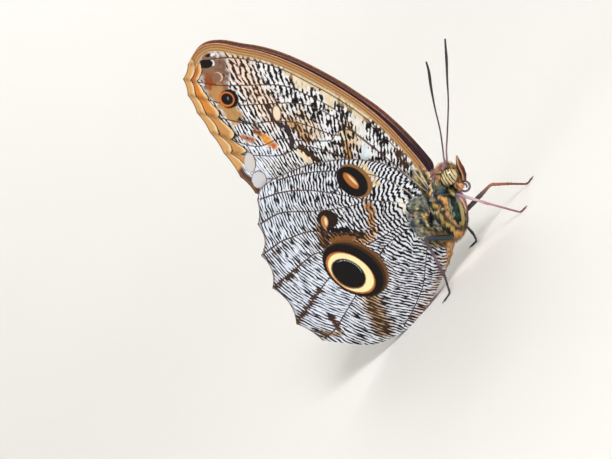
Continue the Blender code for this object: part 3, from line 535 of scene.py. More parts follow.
HINDWING_OVALS = [
    ((-13.0, 22.2), (7.0, 9.9), 0, (104, 66, 34), 0.16),
    ((-13.7, 22.3), (6.7, 9.8), 0, (58, 34, 18), 0.08),
    ((-14.1, 22.5), (6.25, 9.45), 0, BLACK, 0.05),
    ((-15.1, 22.5), (4.72, 7.75), 0, (186, 104, 44), 0.03),
    ((-15.05, 22.45), (4.55, 7.1), 0, (240, 226, 172), 0.03),
    ((-15.75, 22.75), (3.75, 5.35), 0, (120, 84, 44), 0.06),
    ((-15.6, 22.8), (3.55, 5.1), 0, BLACK, 0.05),
    ((6.9, 38.6), (3.95, 5.4), 6, (134, 92, 50), 0.1),
    ((6.3, 39.0), (3.5, 4.85), 6, BLACK, 0.06),
    ((6.3, 39.4), (1.15, 2.75), 8, (168, 100, 44), 0.1),
    ((6.75, 39.2), (0.3, 1.8), 8, (226, 196, 150), 0.15),
    ((-6.6, 37.2), (2.7, 2.95), 0, (34, 22, 14), 0.12),
    ((-7.8, 37.3), (0.95, 1.85), 45, (178, 122, 68), 0.1),
    ((-7.5, 37.1), (0.4, 1.2), 45, (236, 206, 166), 0.1),
]
PUPIL = 6                         # the last oval of the big eyespot, on which its glint lies


def wash(points, washes, pale, dark, share):
    """The pale and dark colours and the share of dark stripes over a wing, after its soft washes."""
    pale = np.tile(pale, (len(points), 1))
    dark = np.tile(dark, (len(points), 1))
    share = np.full(len(points), share)
    x, z = points.T
    ruffle = 0.3 * (np.sin(2.9 * x + 1.3 * z) + np.sin(3.7 * z - 2.1 * x))
    for item in washes:
        away, _, _ = near_line(points, item["line"])
        cover = item["strength"] * (1 - smooth_step(item["width"], item["width"] + item["soft"],
                                                    away + ruffle * min(item["soft"], 1.0)))
        if item["pale"]:
            pale += cover[:, None] * (np.array(item["pale"]) - pale)
        if item["dark"]:
            dark += cover[:, None] * (np.array(item["dark"]) - dark)
        if item["share"] is not None:
            share += cover * (item["share"] - share)
    return pale, dark, share


STEADY = {"forewing": -20.0, "hindwing": 22.0}   # run along the stripes' map up to which they are steady, mm
WINGS = {
    "forewing": dict(front=FOREWING_FRONT, ends=FOREWING_VEIN_ENDS, scallops=FOREWING_SCALLOPS,
                     back=FOREWING_BACK, veins=FOREWING_VEINS, cross=FOREWING_CROSS, offset=forewing_offset,
                     washes=FOREWING_WASHES, ovals=FOREWING_OVALS, share=0.5, short=0.6, specks=0.7,
                     slants=[0.0, -0.15, -0.1, -0.1, -0.15, -0.1, -0.1, -0.3, -0.1], near_slant=0.0),
    "hindwing": dict(front=HINDWING_FRONT, ends=HINDWING_VEIN_ENDS, scallops=HINDWING_SCALLOPS,
                     back=HINDWING_BACK, veins=HINDWING_VEINS, cross=[(7.0, 29.0), (3.9, 26.0)],
                     offset=hindwing_offset, washes=HINDWING_WASHES, ovals=HINDWING_OVALS, share=0.52,
                     short=0.46, specks=0.4, slants=[0.0, 0.0, 0.05, 0.0, 0.1, 0.15, 0.2, -0.1, -0.15],
                     near_slant=-0.45),
}
FORE_GRAIN_PLACE = (5.5, 69.9)
GRAIN_TURN = math.radians(51.7)
FORE_SLANT = 0.36
FORE_SLANT_DOWN = 0.019
FORE_SLANT_ALONG = -0.0175
HIND_GRAIN_CENTRE = (21.8, 25.1)
HIND_GRAIN_RADIUS = 32.0
NEAR_REACH = (14.0, 27.0)         # mm from that centre where the stripes' own lean near the root fades
NEAR_WIDENING = 0.2               # how much wider the stripes are there, as a share
CELL_LIMIT = 9.0                  # width in mm above which a cell between two veins counts no wider
CELL_JUMP = (0.37, 19.0)          # how far the stripes' map moves on from one cell to the next


def grain(kind, points):
    """Where a place lies across and along the stripes, in millimetres."""
    if kind == "hindwing":
        offset = points - np.array(HIND_GRAIN_CENTRE)
        return np.hypot(*offset.T), np.arctan2(offset[:, 1], -offset[:, 0]) * HIND_GRAIN_RADIUS
    offset = points - np.array(FORE_GRAIN_PLACE)
    c, s = math.cos(GRAIN_TURN), math.sin(GRAIN_TURN)
    right = offset[:, 0] * c - offset[:, 1] * s
    down = -offset[:, 0] * s - offset[:, 1] * c
    slant = FORE_SLANT * down + 0.5 * FORE_SLANT_DOWN * down ** 2 + FORE_SLANT_ALONG * right * down
    return right - slant, down


def cell_share(distances, cell):
    """How far across its cell a place lies, 0 at the vein in front to 1 at the one behind, and the width."""
    rows = np.arange(distances.shape[1])
    before, after = distances[cell, rows], distances[cell + 1, rows]
    return before / (before + after + 1e-9), before + after


def wing_front(wing, side):
    """A wing's leading edge, which is the left forewing's own near its root."""
    points = wing["front"]
    if side > 0 and points is FOREWING_FRONT:
        points = FAR_FRONT_ROOT + points[6:]
    return smooth_curve(points, LINE_STEP)


def wing_outline(wing, side):
    parts = [wing_front(wing, side)[:-1], scalloped(wing["ends"], wing["scallops"], LINE_STEP)[:-1],
             smooth_curve(wing["back"], LINE_STEP)[:-1]]
    if wing["back"] is HINDWING_BACK:
        parts.append(smooth_curve(HINDWING_ROOT, LINE_STEP)[:-1])
    outline = np.concatenate(parts)
    outline[:, 1] = np.maximum(outline[:, 1], 0.0)
    return outline


def wing_plan(outline, veins):
    """Points and triangles over a wing in its own plane, with edges along each vein and its feet."""
    points = [Vector(point) for point in outline]
    edges = [(index, (index + 1) % len(points)) for index in range(len(points))]
    for vein in veins:
        ahead = np.gradient(vein, axis=0)
        across = np.stack((-ahead[:, 1], ahead[:, 0]), axis=1) / np.linalg.norm(ahead, axis=1)[:, None]
        for side in (-VEIN_HALF_WIDTH, 0.0, VEIN_HALF_WIDTH):
            first = len(points)
            points += [Vector(point) for point in vein + across * side]
            edges += [(index, index + 1) for index in range(first, len(points) - 1)]
    low, high = outline.min(axis=0), outline.max(axis=0)
    rows = np.arange(low[1], high[1], FILL_STEP * 0.87)
    columns = np.arange(low[0], high[0], FILL_STEP)
    fill = np.array([(x + 0.5 * FILL_STEP * (row % 2), z) for row, z in enumerate(rows) for x in columns])
    clear = np.ones(len(fill), bool)
    for line in [np.vstack((outline, outline[:1]))] + veins:
        clear &= near_line(fill, line)[0] > 0.75 * FILL_STEP
    points += [Vector(point) for point in fill[clear]]
    plan, _, faces, _, _, _ = delaunay_2d_cdt(points, edges, [], 1, 1e-4)
    used = sorted({index for face in faces for index in face})
    renumber = {old: new for new, old in enumerate(used)}
    return np.array([plan[index] for index in used]), [[renumber[index] for index in face] for face in faces]


def add_piece(name, points, faces, material, replaces=(), smooth=50):
    """An object at the origin from drawing millimetres, its faces turned out, riding on the body."""
    mesh = bpy.data.meshes.new(name)
    mesh.from_pydata([Vector(point) for point in on_plane(points)], [], faces)
    shell = bmesh.new()
    shell.from_mesh(mesh)
    bmesh.ops.recalc_face_normals(shell, faces=shell.faces)
    shell.to_mesh(mesh)
    shell.free()
    mesh.shade_smooth()
    mesh.set_sharp_from_angle(angle=math.radians(smooth))
    return finish_piece(bpy.data.objects.new(name, mesh), material, replaces)


def finish_piece(piece, material, replaces=()):
    if piece.name not in bpy.context.scene.collection.objects:
        bpy.context.scene.collection.objects.link(piece)
    piece.data.materials.clear()
    piece.data.materials.append(material)
    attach(piece, "root")
    if replaces:
        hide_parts(*replaces)
    return piece


def write_field(mesh, name, values):
    """A number or a colour for each point of a mesh."""
    values = np.asarray(values, np.float32)
    if values.ndim == 2:
        values = np.hstack((values, np.ones((len(values), 1), np.float32)))
        mesh.attributes.new(name, "FLOAT_COLOR", "POINT").data.foreach_set("color", values.ravel())
    else:
        mesh.attributes.new(name, "FLOAT", "POINT").data.foreach_set("value", values)


def corner_points(mesh):
    """Which point lies at each corner of a mesh's faces."""
    corners = np.empty(len(mesh.loops), int)
    mesh.loops.foreach_get("vertex_index", corners)
    return corners


def write_map(mesh, name, places):
    """A UV map from one place for each corner."""
    mesh.uv_layers.new(name=name).data.foreach_set("uv", places.astype(np.float32).ravel())


def make_wing(kind, side, material, settings):
    """A thin closed sheet with raised veins, and the fields that its pattern follows."""
    wing = WINGS[kind]
    suffix = "left" if side > 0 else "right"
    outline = wing_outline(wing, side)
    veins = [smooth_curve(vein, LINE_STEP) for vein in wing["veins"]]
    cross = smooth_curve(wing["cross"], LINE_STEP)
    plan, faces = wing_plan(outline, veins + [cross])
    pale = settings.fore_pale if kind == "forewing" else settings.hind_pale
    fields = wing_fields(wing, wing_front(wing, side), plan, veins, cross, pale, settings.dark)
    half = 0.5 * settings.sheet / MM * (0.4 + 0.6 * smooth_step(0.0, 1.2, fields["rim"]))
    half += settings.vein / MM * fields["relief"]
    middle = wing["offset"](plan) + 0.02 * fields["bulge"] * fields["width"]
    count = len(plan)
    points = np.concatenate([np.stack((plan[:, 0], side * (middle + half * face), plan[:, 1]), axis=1)
                             for face in (1, -1)])
    skin = [tuple(face) for face in faces]
    skin += [tuple(index + count for index in reversed(face)) for face in faces]
    walls = {(a, b) for face in faces for a, b in zip(face, face[1:] + face[:1])}
    for a, b in sorted(walls):
        if (b, a) not in walls:
            skin += [(b, a, a + count, b + count)]
    piece = add_piece(f"{kind}_{suffix}_scales", points, skin, material, [f"{kind}_{suffix}"])
    mesh = piece.data
    for name in ("pale", "dark", "share", "vein", "edge", "front", "bulge"):
        write_field(mesh, name, np.concatenate([fields[name]] * 2))
    write_field(mesh, "outer", np.repeat((1.0, 0.0), count))
    write_grain(mesh, kind, wing, plan, fields["distances"])
    return piece


def wing_fields(wing, front_line, plan, veins, cross, pale, dark):
    """What the wing's shape and pattern need at each point of its plan."""
    front = near_line(plan, front_line)[0]
    edge = near_line(plan, scalloped(wing["ends"], wing["scallops"], LINE_STEP))[0]
    back = near_line(plan, smooth_curve(wing["back"], LINE_STEP))[0]
    near = [near_line(plan, vein) for vein in veins]
    distances = np.stack([front] + [away for away, _, _ in near] + [back])
    cell = np.sum([side for _, _, side in near], axis=0).astype(int)
    across, width = cell_share(distances, cell)
    away_cross = near_line(plan, cross)[0]
    relief = np.zeros(len(plan))
    for (away, along, _), vein in zip(near, veins):
        length = float(np.sum(np.linalg.norm(np.diff(vein, axis=0), axis=1)))
        rise = 1 - 0.6 * along / length
        relief = np.maximum(relief, rise * np.maximum(0, 1 - away / VEIN_HALF_WIDTH))
    relief = np.maximum(relief, 0.6 * np.maximum(0, 1 - away_cross / VEIN_HALF_WIDTH))
    pale, dark, share = wash(plan, wing["washes"], pale, dark, wing["share"])
    places = np.insert(plan, 1, 0.0, axis=1)
    root = smooth_step(5.0, 2.8, near_line(plan, np.array(ROOT_ZONE))[0])
    blobs = 0.6 * mottle(places, 1.3, 31) + 0.45 * mottle(places, 0.7, 32) - 0.3
    pale *= np.clip(1 + root * blobs, 0.1, 1.4)[:, None]
    if wing["front"] is FOREWING_FRONT:
        rough = smooth_step(70.0, 58.0, plan[:, 1]) * smooth_step(3.0, 10.0, plan[:, 0]) * (share > 0.3)
        share += rough * (0.13 * mottle(places, 2.6, 33) + 0.12 * mottle(places, 1.4, 34) - 0.07)
    return {
        "front": front, "edge": edge, "rim": np.minimum(np.minimum(front, edge), back),
        "distances": distances, "bulge": np.sin(math.pi * across), "width": np.minimum(width, CELL_LIMIT),
        "relief": relief, "vein": np.minimum(distances[1:-1].min(axis=0), away_cross),
        "pale": pale, "dark": dark, "share": share,
    }


def write_grain(mesh, kind, wing, plan, distances):
    """The stripes' own map, which breaks off at each vein, so that they don't run on across it."""
    corners = corner_points(mesh) % len(plan)
    starts = np.array([polygon.loop_start for polygon in mesh.polygons])
    totals = np.array([polygon.loop_total for polygon in mesh.polygons])
    centres = np.add.reduceat(plan[corners], starts, axis=0) / totals[:, None]
    veins = [smooth_curve(vein, LINE_STEP) for vein in wing["veins"]]
    cell = np.sum([near_line(centres, vein)[2] for vein in veins], axis=0).astype(int)
    cell = np.repeat(cell, totals)
    across, width = cell_share(distances[:, corners], cell)
    u, v = grain(kind, plan[corners])
    slant = np.array(wing["slants"])[cell]
    if kind == "hindwing":
        slant += wing["near_slant"] * (1 - smooth_step(*NEAR_REACH, u))
        u -= NEAR_WIDENING * np.minimum(u, NEAR_REACH[1])
    u += slant * (across - 0.5) * np.minimum(width, CELL_LIMIT) + CELL_JUMP[0] * cell
    write_map(mesh, "Grain", np.stack((u, v + CELL_JUMP[1] * cell), axis=1))


def stripe_mask(graph, share, period, calm, short, specks):
    """1 on the dark stripes and 0 between them, ragged like rows of scales, and less so where it is calm."""
    u, v, _ = graph.parts(graph.node("ShaderNodeUVMap", {"uv_map": "Grain"}))
    steady = ((calm - u) * 0.12).clamp()
    bend = graph.noise(graph.vector(u * 0.16, v * 0.16), 1.0, 2.0) - 0.5
    ripple = graph.noise(graph.vector(u * 0.5, v * 0.6, 2.0), 1.0, 1.0) - 0.5
    u = u + bend * 1.6 + ripple * 0.55
    fine = graph.noise(graph.vector(u * (1.5 / period), v * short), 1.0, 2.0, 0.55) - 0.5
    speck = graph.noise(graph.vector(u * 7.0, v * 3.2, 4.0), 1.0, 1.0) - 0.5
    wave = (u * (2 * math.pi / period)).sin() * (steady * 0.35 + 0.4) + fine * (3.4 - steady * 1.7)
    wave = wave + speck * specks
    level = (share - 0.5) * 2.6
    return ((wave + level) * 2.6 + 0.5).clamp(), u, v


def margin_bands(graph, base, edge, bulge, vein, rag):
    """Two lobed bands and their dark lines along the forewing's outer margin, down to the pale lunules."""
    _, _, z = graph.parts(graph.place())
    top = ((z - 70.0) * (1 / 14.0)).clamp()
    low = 1.0 - top
    lobe = bulge.math("POWER", bulge, 0.7)
    inner = lobe * (low * 1.5 + 0.55) + top * 0.9 + 3.3 + rag * 0.5 - ((z - 82.0) * 0.2).clamp()
    middle = lobe * (low * 1.0 + 0.35) + top * 0.4 + 1.25 + rag * 0.3
    tan, pale, brown = tone(186, 134, 78), tone(232, 204, 156), tone(112, 70, 36)
    amber = graph.mix(((z - 76.0) * (1 / 7.0)).clamp(), tan, tone(204, 124, 44))
    amber = graph.mix(((z - 85.0) * (1 / 4.0)).clamp() * 0.8, amber, tone(168, 84, 36))
    below = graph.mix(((inner - edge) * 1.1).clamp(), pale, amber)
    below = graph.mix(vein.below(0.55, 0.7) * 0.6, below, brown)
    outer = graph.mix(((middle - edge) * 1.3).clamp(), pale, tone(196, 150, 96))
    outer = graph.mix(vein.below(0.5, 0.8) * 0.55, outer, brown)
    shown = ((z - 63.6) * 1.3).clamp()
    shadow = edge.below(inner + 0.7, 0.7) * (low * 0.6 + 0.2)
    bands = graph.mix(shadow, base, tone(30, 20, 16))
    bands = graph.mix(edge.below(inner + 0.25, 0.16), bands, tone(*BLACK))
    bands = graph.mix(edge.below(inner, 0.14), bands, below)
    bands = graph.mix(edge.below(middle + 0.26, 0.14), bands, tone(62, 36, 18))
    bands = graph.mix(edge.below(middle, 0.14), bands, outer)
    strip = graph.mix(edge.below(1.9, 0.5), base, tone(84, 58, 48))
    strip = graph.mix(edge.below(0.7, 0.5), strip, tone(120, 84, 56))
    base = graph.mix(shown, strip, bands)
    return graph.mix(edge.below(0.3, 0.2) * 0.7, base, tone(96, 62, 36))


def costal_bands(graph, base, front, edge, rag):
    """Fine brown and tan lines along the forewing's leading edge."""
    ramp = [(0.0, tone(222, 182, 152)), (0.05, tone(160, 100, 66)), (0.13, tone(126, 78, 46)),
            (0.22, tone(178, 134, 84)), (0.3, tone(122, 84, 50)), (0.42, tone(184, 146, 96)),
            (0.52, tone(138, 98, 62)), (0.64, tone(198, 164, 118)), (0.78, tone(152, 118, 82)),
            (1.0, tone(216, 198, 168))]
    stripe = graph.node("ShaderNodeValToRGB", {"stops": ramp}, front * (1 / 3.4) + rag * 0.07, output="Color")
    _, _, z = graph.parts(graph.place())
    shown = ((edge - 1.2) * 0.8).clamp() * ((z - 25.5) * 0.3).clamp()
    reach = 2.3 + rag * 1.2 - ((64.0 - z) * 0.12).clamp() * 0.45
    return graph.mix(front.below(reach, 0.7) * shown, base, stripe)


def inner_face(graph, base, front, grit, rag, lines):
    """The inner faces, dark purple-brown with a rust and tan leading edge."""
    ramp = [(0.0, tone(206, 160, 118)), (0.06, tone(150, 92, 58)), (0.2, tone(104, 62, 46)),
            (0.3, tone(172, 126, 112)), (0.36, tone(60, 42, 46)), (0.7, tone(44, 36, 48)),
            (1.0, tone(74, 50, 38))]
    inside = graph.node("ShaderNodeValToRGB", {"stops": ramp}, front * (1 / 3.4) + rag * 0.12, output="Color")
    inside = graph.mix(lines * 0.3, inside, tone(150, 106, 88))
    _, _, z = graph.parts(graph.place())
    inside = graph.mix(((41.0 - z) * 0.09).clamp() * 0.85, inside, tone(58, 38, 42))
    # Violet patches laid by noise: the scales' sheen, painted in as colour.
    inside = graph.mix(((rag + 0.02) * 9.0).clamp() * 0.35, inside, tone(64, 44, 66))
    inside = graph.mix(grit * 0.35, inside, tone(38, 30, 40))
    return graph.mix(graph.field("outer"), inside, base)


def wing_material(kind, period):
    """Rows of scales in dark and pale stripes, with the eyespots, margin and veins of that wing."""
    wing = WINGS[kind]
    graph = Graph(f"{kind} scales")
    edge, bulge, front, vein = (graph.field(name) for name in ("edge", "bulge", "front", "vein"))
    mask, u, v = stripe_mask(graph, graph.field("share"), period, STEADY[kind], wing["short"], wing["specks"])
    rag = graph.noise(graph.place(), 1.6, 2.0) - 0.5
    grit = graph.noise(graph.vector(u * 9.0, v * 9.0), 1.0, 1.0)
    blush = graph.noise(graph.vector(u * 0.9, v * 0.5, 7.0), 1.0, 2.0)
    pale, dark = graph.field("pale", "Color"), graph.field("dark", "Color")
    base = graph.mix(mask, graph.tint(pale, blush * 0.5 + 0.75), dark)
    thick = ((edge * -1.0 + 20.0) * 0.006).clamp() + 0.14
    flat = graph.place(flat=True)
    near = ((graph.oval(flat, (16.0, 21.0), (9.5, 9.5), 0) * -1.0 + 1.15) * 2.6).clamp()
    line = graph.mix(near, tone(66, 42, 28), tone(198, 188, 164))
    clear = ((graph.oval(flat, (12.5, 18.5), (7.5, 7.5), 0) - 0.7) * 2.5).clamp() * 0.75 + 0.15
    base = graph.mix(vein.below(thick if kind == "hindwing" else 0.16, 0.14) * clear, base, line)
    for index, oval in enumerate(wing["ovals"]):
        base = spot(graph, base, flat, oval, rag)
        if kind == "hindwing" and index == PUPIL:
            base = eye_glint(graph, base, flat)
    if kind == "forewing":
        base = margin_bands(graph, base, edge, bulge, vein, rag)
        base = costal_bands(graph, base, front, edge, rag)
        for oval in LUNULES:
            base = spot(graph, base, flat, oval, rag)
    else:
        base = graph.mix(edge.below(0.5, 0.6) * 0.7, base, tone(84, 58, 42))
        base = graph.mix(front.below(0.3, 0.2) * 0.8, base, tone(84, 60, 46))
    lines = (front * 7.0 + rag * 2.0).sin() * 0.5 + 0.5
    base = inner_face(graph, base, front, grit, rag, lines)
    base = graph.tint(base, grit * 0.36 + 0.8)
    graph.set(Base_Color=base, Roughness=0.62, Specular_IOR_Level=0.18,
              Normal=graph.bump(grit * 0.5 + mask * 0.5, 0.5, 0.06))
    return graph.material


def spot(graph, base, flat, oval, rag):
    """An oval mark with a slightly ruffled edge."""
    centre, halves, turn, colour, ruffle = oval
    away = graph.oval(flat, centre, halves, turn) + rag * ruffle
    return graph.mix(away.below(1.0, 0.22 / min(halves)), base, tone(*colour))


def eye_glint(graph, base, flat):
    """The pale dotted streak in the big eyespot's pupil."""
    x, _, z = graph.parts(flat)
    ring = (graph.oval(flat, (-15.4, 22.9), (3.0, 4.3)) - 1.0).abs()
    dots = ((z * 9.0).sin() * 0.6 + 0.7).clamp()
    shown = ((x + 15.3) * 1.2).clamp() * ((z - 20.0) * 0.8).clamp() * dots
    return graph.mix(ring.below(0.03, 0.045) * shown * 0.85, base, tone(186, 196, 206))


# Body: centres and sizes along X, Y and Z, with the pitch of the long axis
BODY_LUMPS = [
    ((14.3, 0, 14.2), (17.2, 9.6, 12.0), 55), ((19.3, 0, 21.4), (5.4, 6.2, 4.6), 0),
    ((22.4, 0, 19.2), (4.8, 4.4, 4.8), 0), ((23.6, 0, 17.4), (2.6, 2.6, 2.8), 0),
    ((16.6, 2.0, 20.2), (4.4, 4.0, 5.6), 30), ((16.6, -2.0, 20.2), (4.4, 4.0, 5.6), 30),
    ((22.7, 0.8, 16.0), (2.3, 1.9, 2.7), 0), ((22.7, -0.8, 16.0), (2.3, 1.9, 2.7), 0),
    ((24.7, 0, 19.9), (2.2, 1.9, 4.6), 0), ((22.5, 0, 21.8), (4.6, 3.6, 2.8), 0),
]
ABDOMEN_RINGS = 7
REMESH = 0.22

# Washes on the body, as on the wings, at its right flank and mirrored on the left
BODY_WASHES = [
    mark([(9.2, 8.7), (3.9, 4.1), (-4.0, 3.0)], 2.2, 2.0, (160, 122, 76)),
    mark([(9.4, 6.6), (3.0, 3.0), (-4.0, 1.6)], 0.7, 1.0, (226, 174, 118)),
    mark([(12.3, 8.7), (13.3, 7.0)], 0.9, 0.6, (230, 176, 112)),
    mark([(19.7, 21.5), (19.5, 19.4)], 0.7, 0.4, (104, 124, 112)),
    mark([(17.4, 22.0), (18.4, 23.0)], 0.5, 0.4, (34, 44, 60)),
    mark([(17.3, 21.1), (17.2, 20.9)], 0.45, 0.3, (214, 150, 78)),
    mark([(19.1, 18.7), (18.5, 18.1)], 0.6, 0.3, (24, 64, 72)),
    mark([(17.5, 20.2), (16.8, 18.8), (16.7, 17.8)], 0.55, 0.3, (26, 46, 64)),
    mark([(14.9, 18.9), (14.0, 17.6), (13.0, 16.2)], 0.45, 0.35, (48, 62, 58)),
    mark([(17.1, 17.4), (16.3, 15.6)], 0.4, 0.25, (44, 38, 42)),
    mark([(17.8, 18.2), (18.2, 16.8), (17.1, 15.3), (16.4, 14.6)], 0.42, 0.3, (210, 156, 90)),
    mark([(16.3, 19.9), (15.3, 18.7), (15.5, 17.2), (14.8, 16.2)], 0.4, 0.25, (196, 160, 90)),
    mark([(15.9, 14.3), (15.6, 12.0), (14.9, 9.6)], 0.36, 0.3, (204, 168, 118)),
    mark([(14.1, 16.5), (13.9, 14.9), (13.5, 12.9), (13.4, 10.9), (13.0, 9.5)], 0.36, 0.3, (202, 172, 96)),
    mark([(14.9, 14.2), (14.5, 12.8), (14.4, 10.9)], 0.16, 0.22, (132, 72, 24)),
    mark([(15.6, 15.4), (15.5, 15.3)], 0.4, 0.2, BLACK),
    mark([(16.0, 15.9), (16.1, 15.7)], 0.14, 0.15, CREAM),
    mark([(19.0, 15.8), (17.3, 13.7), (16.1, 12.1)], 0.2, 0.2, (150, 154, 130)),
    mark([(19.9, 18.1), (19.6, 16.3), (19.3, 14.6)], 0.4, 0.2, BLACK),
    mark([(19.2, 14.5), (18.2, 12.9), (16.8, 11.2), (15.9, 9.9)], 0.85, 0.2, (14, 24, 26)),
    mark([(18.7, 13.7), (17.8, 12.4), (16.8, 11.2)], 0.4, 0.35, (28, 78, 70)),
    mark([(20.9, 19.0), (20.6, 16.6), (20.2, 14.7), (19.4, 12.6), (18.3, 10.7), (17.0, 9.3), (15.3, 8.4)],
         0.2, 0.2, (176, 164, 100)),
    mark([(20.6, 14.6), (19.9, 12.2), (18.9, 10.2), (17.5, 8.7), (15.7, 7.8)], 0.16, 0.2, (64, 46, 36)),
    mark([(20.9, 13.9), (20.5, 12.1), (19.5, 9.9), (17.6, 7.9), (15.4, 6.7)], 0.55, 0.3, (206, 160, 142)),
    mark([(21.7, 17.4), (21.5, 17.0)], 0.55, 0.25, BLACK),
    mark([(19.0, 23.6), (21.0, 24.0), (22.6, 24.0), (24.0, 23.5), (25.3, 22.9)], 0.6, 0.6, (228, 208, 222)),
    mark([(20.9, 22.7), (22.6, 22.8), (24.0, 22.4)], 0.4, 0.4, (190, 146, 132)),
    mark([(22.5, 23.1), (22.0, 22.2)], 0.3, 0.25, (232, 184, 132)),
    mark([(20.9, 21.9), (20.1, 20.9)], 0.42, 0.3, (228, 178, 126)),
    mark([(21.9, 22.0), (21.0, 20.5)], 0.28, 0.25, (38, 46, 50)),
    mark([(25.9, 22.2), (25.6, 20.5), (24.9, 18.9), (24.2, 17.6)], 0.9, 0.4, (190, 152, 96)),
    mark([(25.0, 21.6), (24.6, 19.6)], 0.2, 0.3, (120, 98, 48)),
    mark([(23.4, 16.6), (22.6, 15.2)], 1.0, 0.4, (230, 174, 128)),
]


def mottle(points, pitch, seed):
    """A smooth irregular field, about -1 to 1, in blobs about as wide as the pitch in mm."""
    chance = np.random.default_rng(seed)
    field = np.zeros(len(points))
    for _ in range(6):
        way = chance.normal(size=3)
        way /= np.linalg.norm(way)
        length = pitch * chance.uniform(0.8, 1.7)
        field += np.sin(points @ way * math.tau / length + chance.uniform(0, math.tau))
    return field / 2.6


def body_tint(points):
    """The painted pattern of the flanks, broken up into small blobs, with a plainer brown back."""
    moved = points[:, [0, 2]] + 0.26 * np.stack([mottle(points, 1.5, seed) for seed in (21, 22)], axis=1)
    flank = wash(moved, BODY_WASHES + ROOT_WASHES, tone(84, 80, 58), tone(*BLACK), 0.0)[0]
    top = (smooth_step(0.5, 0.1, np.abs(points[:, 1]) / 4.8) * smooth_step(20.5, 18.5, points[:, 0]))[:, None]
    blobs = 0.86 + 0.42 * mottle(points, 0.9, 23) + 0.32 * mottle(points, 0.5, 24)
    return (flank + 0.4 * top * (np.array(tone(128, 108, 88)) - flank)) * np.clip(blobs, 0.18, 1.1)[:, None]


def rounded(lump, rings=24, sides=32):
    """Points and faces of an ellipsoid."""
    centre, size, pitch = lump
    turn = Matrix.Rotation(-math.radians(pitch), 3, "Y")
    ball = bmesh.new()
    bmesh.ops.create_uvsphere(ball, u_segments=sides, v_segments=rings, radius=1.0)
    points = [Vector(centre) + turn @ Vector([vertex.co[axis] * (size[axis] / 2) for axis in range(3)])
              for vertex in ball.verts]
    faces = [[vertex.index for vertex in face.verts] for face in ball.faces]
    ball.free()
    return points, faces


def tube(path, radii, sides):
    """Points, faces and a map in millimetres along and around a tube with rounded ends."""
    path = [Vector(point) for point in path]
    points, faces, along = [], [], []
    reference = (path[1] - path[0]).orthogonal().normalized()
    run = 0.0
    for index, place in enumerate(path):
        if index:
            run += (place - path[index - 1]).length
        ahead = (path[min(index + 1, len(path) - 1)] - path[max(index - 1, 0)]).normalized()
        reference = (reference - ahead * reference.dot(ahead)).normalized()
        other = ahead.cross(reference)
        for step in range(sides):
            angle = 2 * math.pi * step / sides
            points.append(place + (reference * math.cos(angle) + other * math.sin(angle)) * radii[index])
            along.append((run, step / sides))
    for ring in range(len(path) - 1):
        for step in range(sides):
            after = (step + 1) % sides
            faces.append((ring * sides + step, ring * sides + after, (ring + 1) * sides + after,
                          (ring + 1) * sides + step))
    faces += [tuple(range(sides)), tuple(range(len(points) - sides, len(points)))]
    return points, faces, along


def merge(parts):
    """One list of points, faces and maps from several."""
    points, faces, along = [], [], []
    for part in parts:
        faces += [tuple(index + len(points) for index in face) for face in part[1]]
        points += part[0]
        along += part[2] if len(part) > 2 else [(0.0, 0.0)] * len(part[0])
    return points, faces, along


def spread(values, count):
    """A short list of sizes read at evenly spaced places."""
    return list(np.interp(np.linspace(0, len(values) - 1, count), np.arange(len(values)), values))


def remeshed(points, faces, size, smoothing):
    """One closed skin round overlapping shapes, as points and faces in the same units."""
    mesh = bpy.data.meshes.new("lumps")
    mesh.from_pydata([Vector(point) for point in points], [], faces)
    piece = bpy.data.objects.new("lumps", mesh)
    bpy.context.scene.collection.objects.link(piece)
    skin = piece.modifiers.new("Skin", "REMESH")
    skin.mode = "VOXEL"
    skin.voxel_size = size
    relax = piece.modifiers.new("Relax", "SMOOTH")
    relax.iterations = smoothing
    bpy.context.view_layer.update()
    made = bpy.data.meshes.new_from_object(piece.evaluated_get(bpy.context.evaluated_depsgraph_get()))
    found = np.empty(len(made.vertices) * 3)
    made.vertices.foreach_get("co", found)
    result = found.reshape(-1, 3), [tuple(polygon.vertices) for polygon in made.polygons]
    bpy.data.objects.remove(piece, do_unlink=True)
    bpy.data.meshes.remove(made)
    bpy.data.meshes.remove(mesh)
    return result


def abdomen_shape():
    line = smooth_curve([(x, 0, z) for x, z, _ in ABDOMEN_LINE], 0.25)
    radii = spread([radius for _, _, radius in ABDOMEN_LINE], len(line))
    turns = np.linspace(0, 1, len(line)) * ABDOMEN_RINGS
    radii = [radius * (0.98 - 0.045 * math.cos(2 * math.pi * turn)) for radius, turn in zip(radii, turns)]
    return tube(line, radii, 28)


def make_skin(material):
    points, faces, _ = merge([rounded(lump) for lump in BODY_LUMPS] + [abdomen_shape()])
    points, faces = remeshed(points, faces, REMESH, 6)
    piece = add_piece("body_skin", points, faces, material, ["head", "thorax", "abdomen"], 80)
    write_field(piece.data, "tint", body_tint(points))
    return piece


def soft_material(name, rough=0.75, strength=0.35):
    """Short flat scales or hair, coloured by the painted tint."""
    graph = Graph(name)
    place = graph.place()
    grit = graph.noise(place, 9.0, 3.0, 0.7)
    streak = graph.noise(place, 2.2, 2.0)
    graph.set(Base_Color=graph.tint(graph.field("tint", "Color"), grit * 0.7 + streak * 0.5 + 0.4),
              Roughness=rough, Normal=graph.bump(grit, strength, 0.12))
    return graph.material


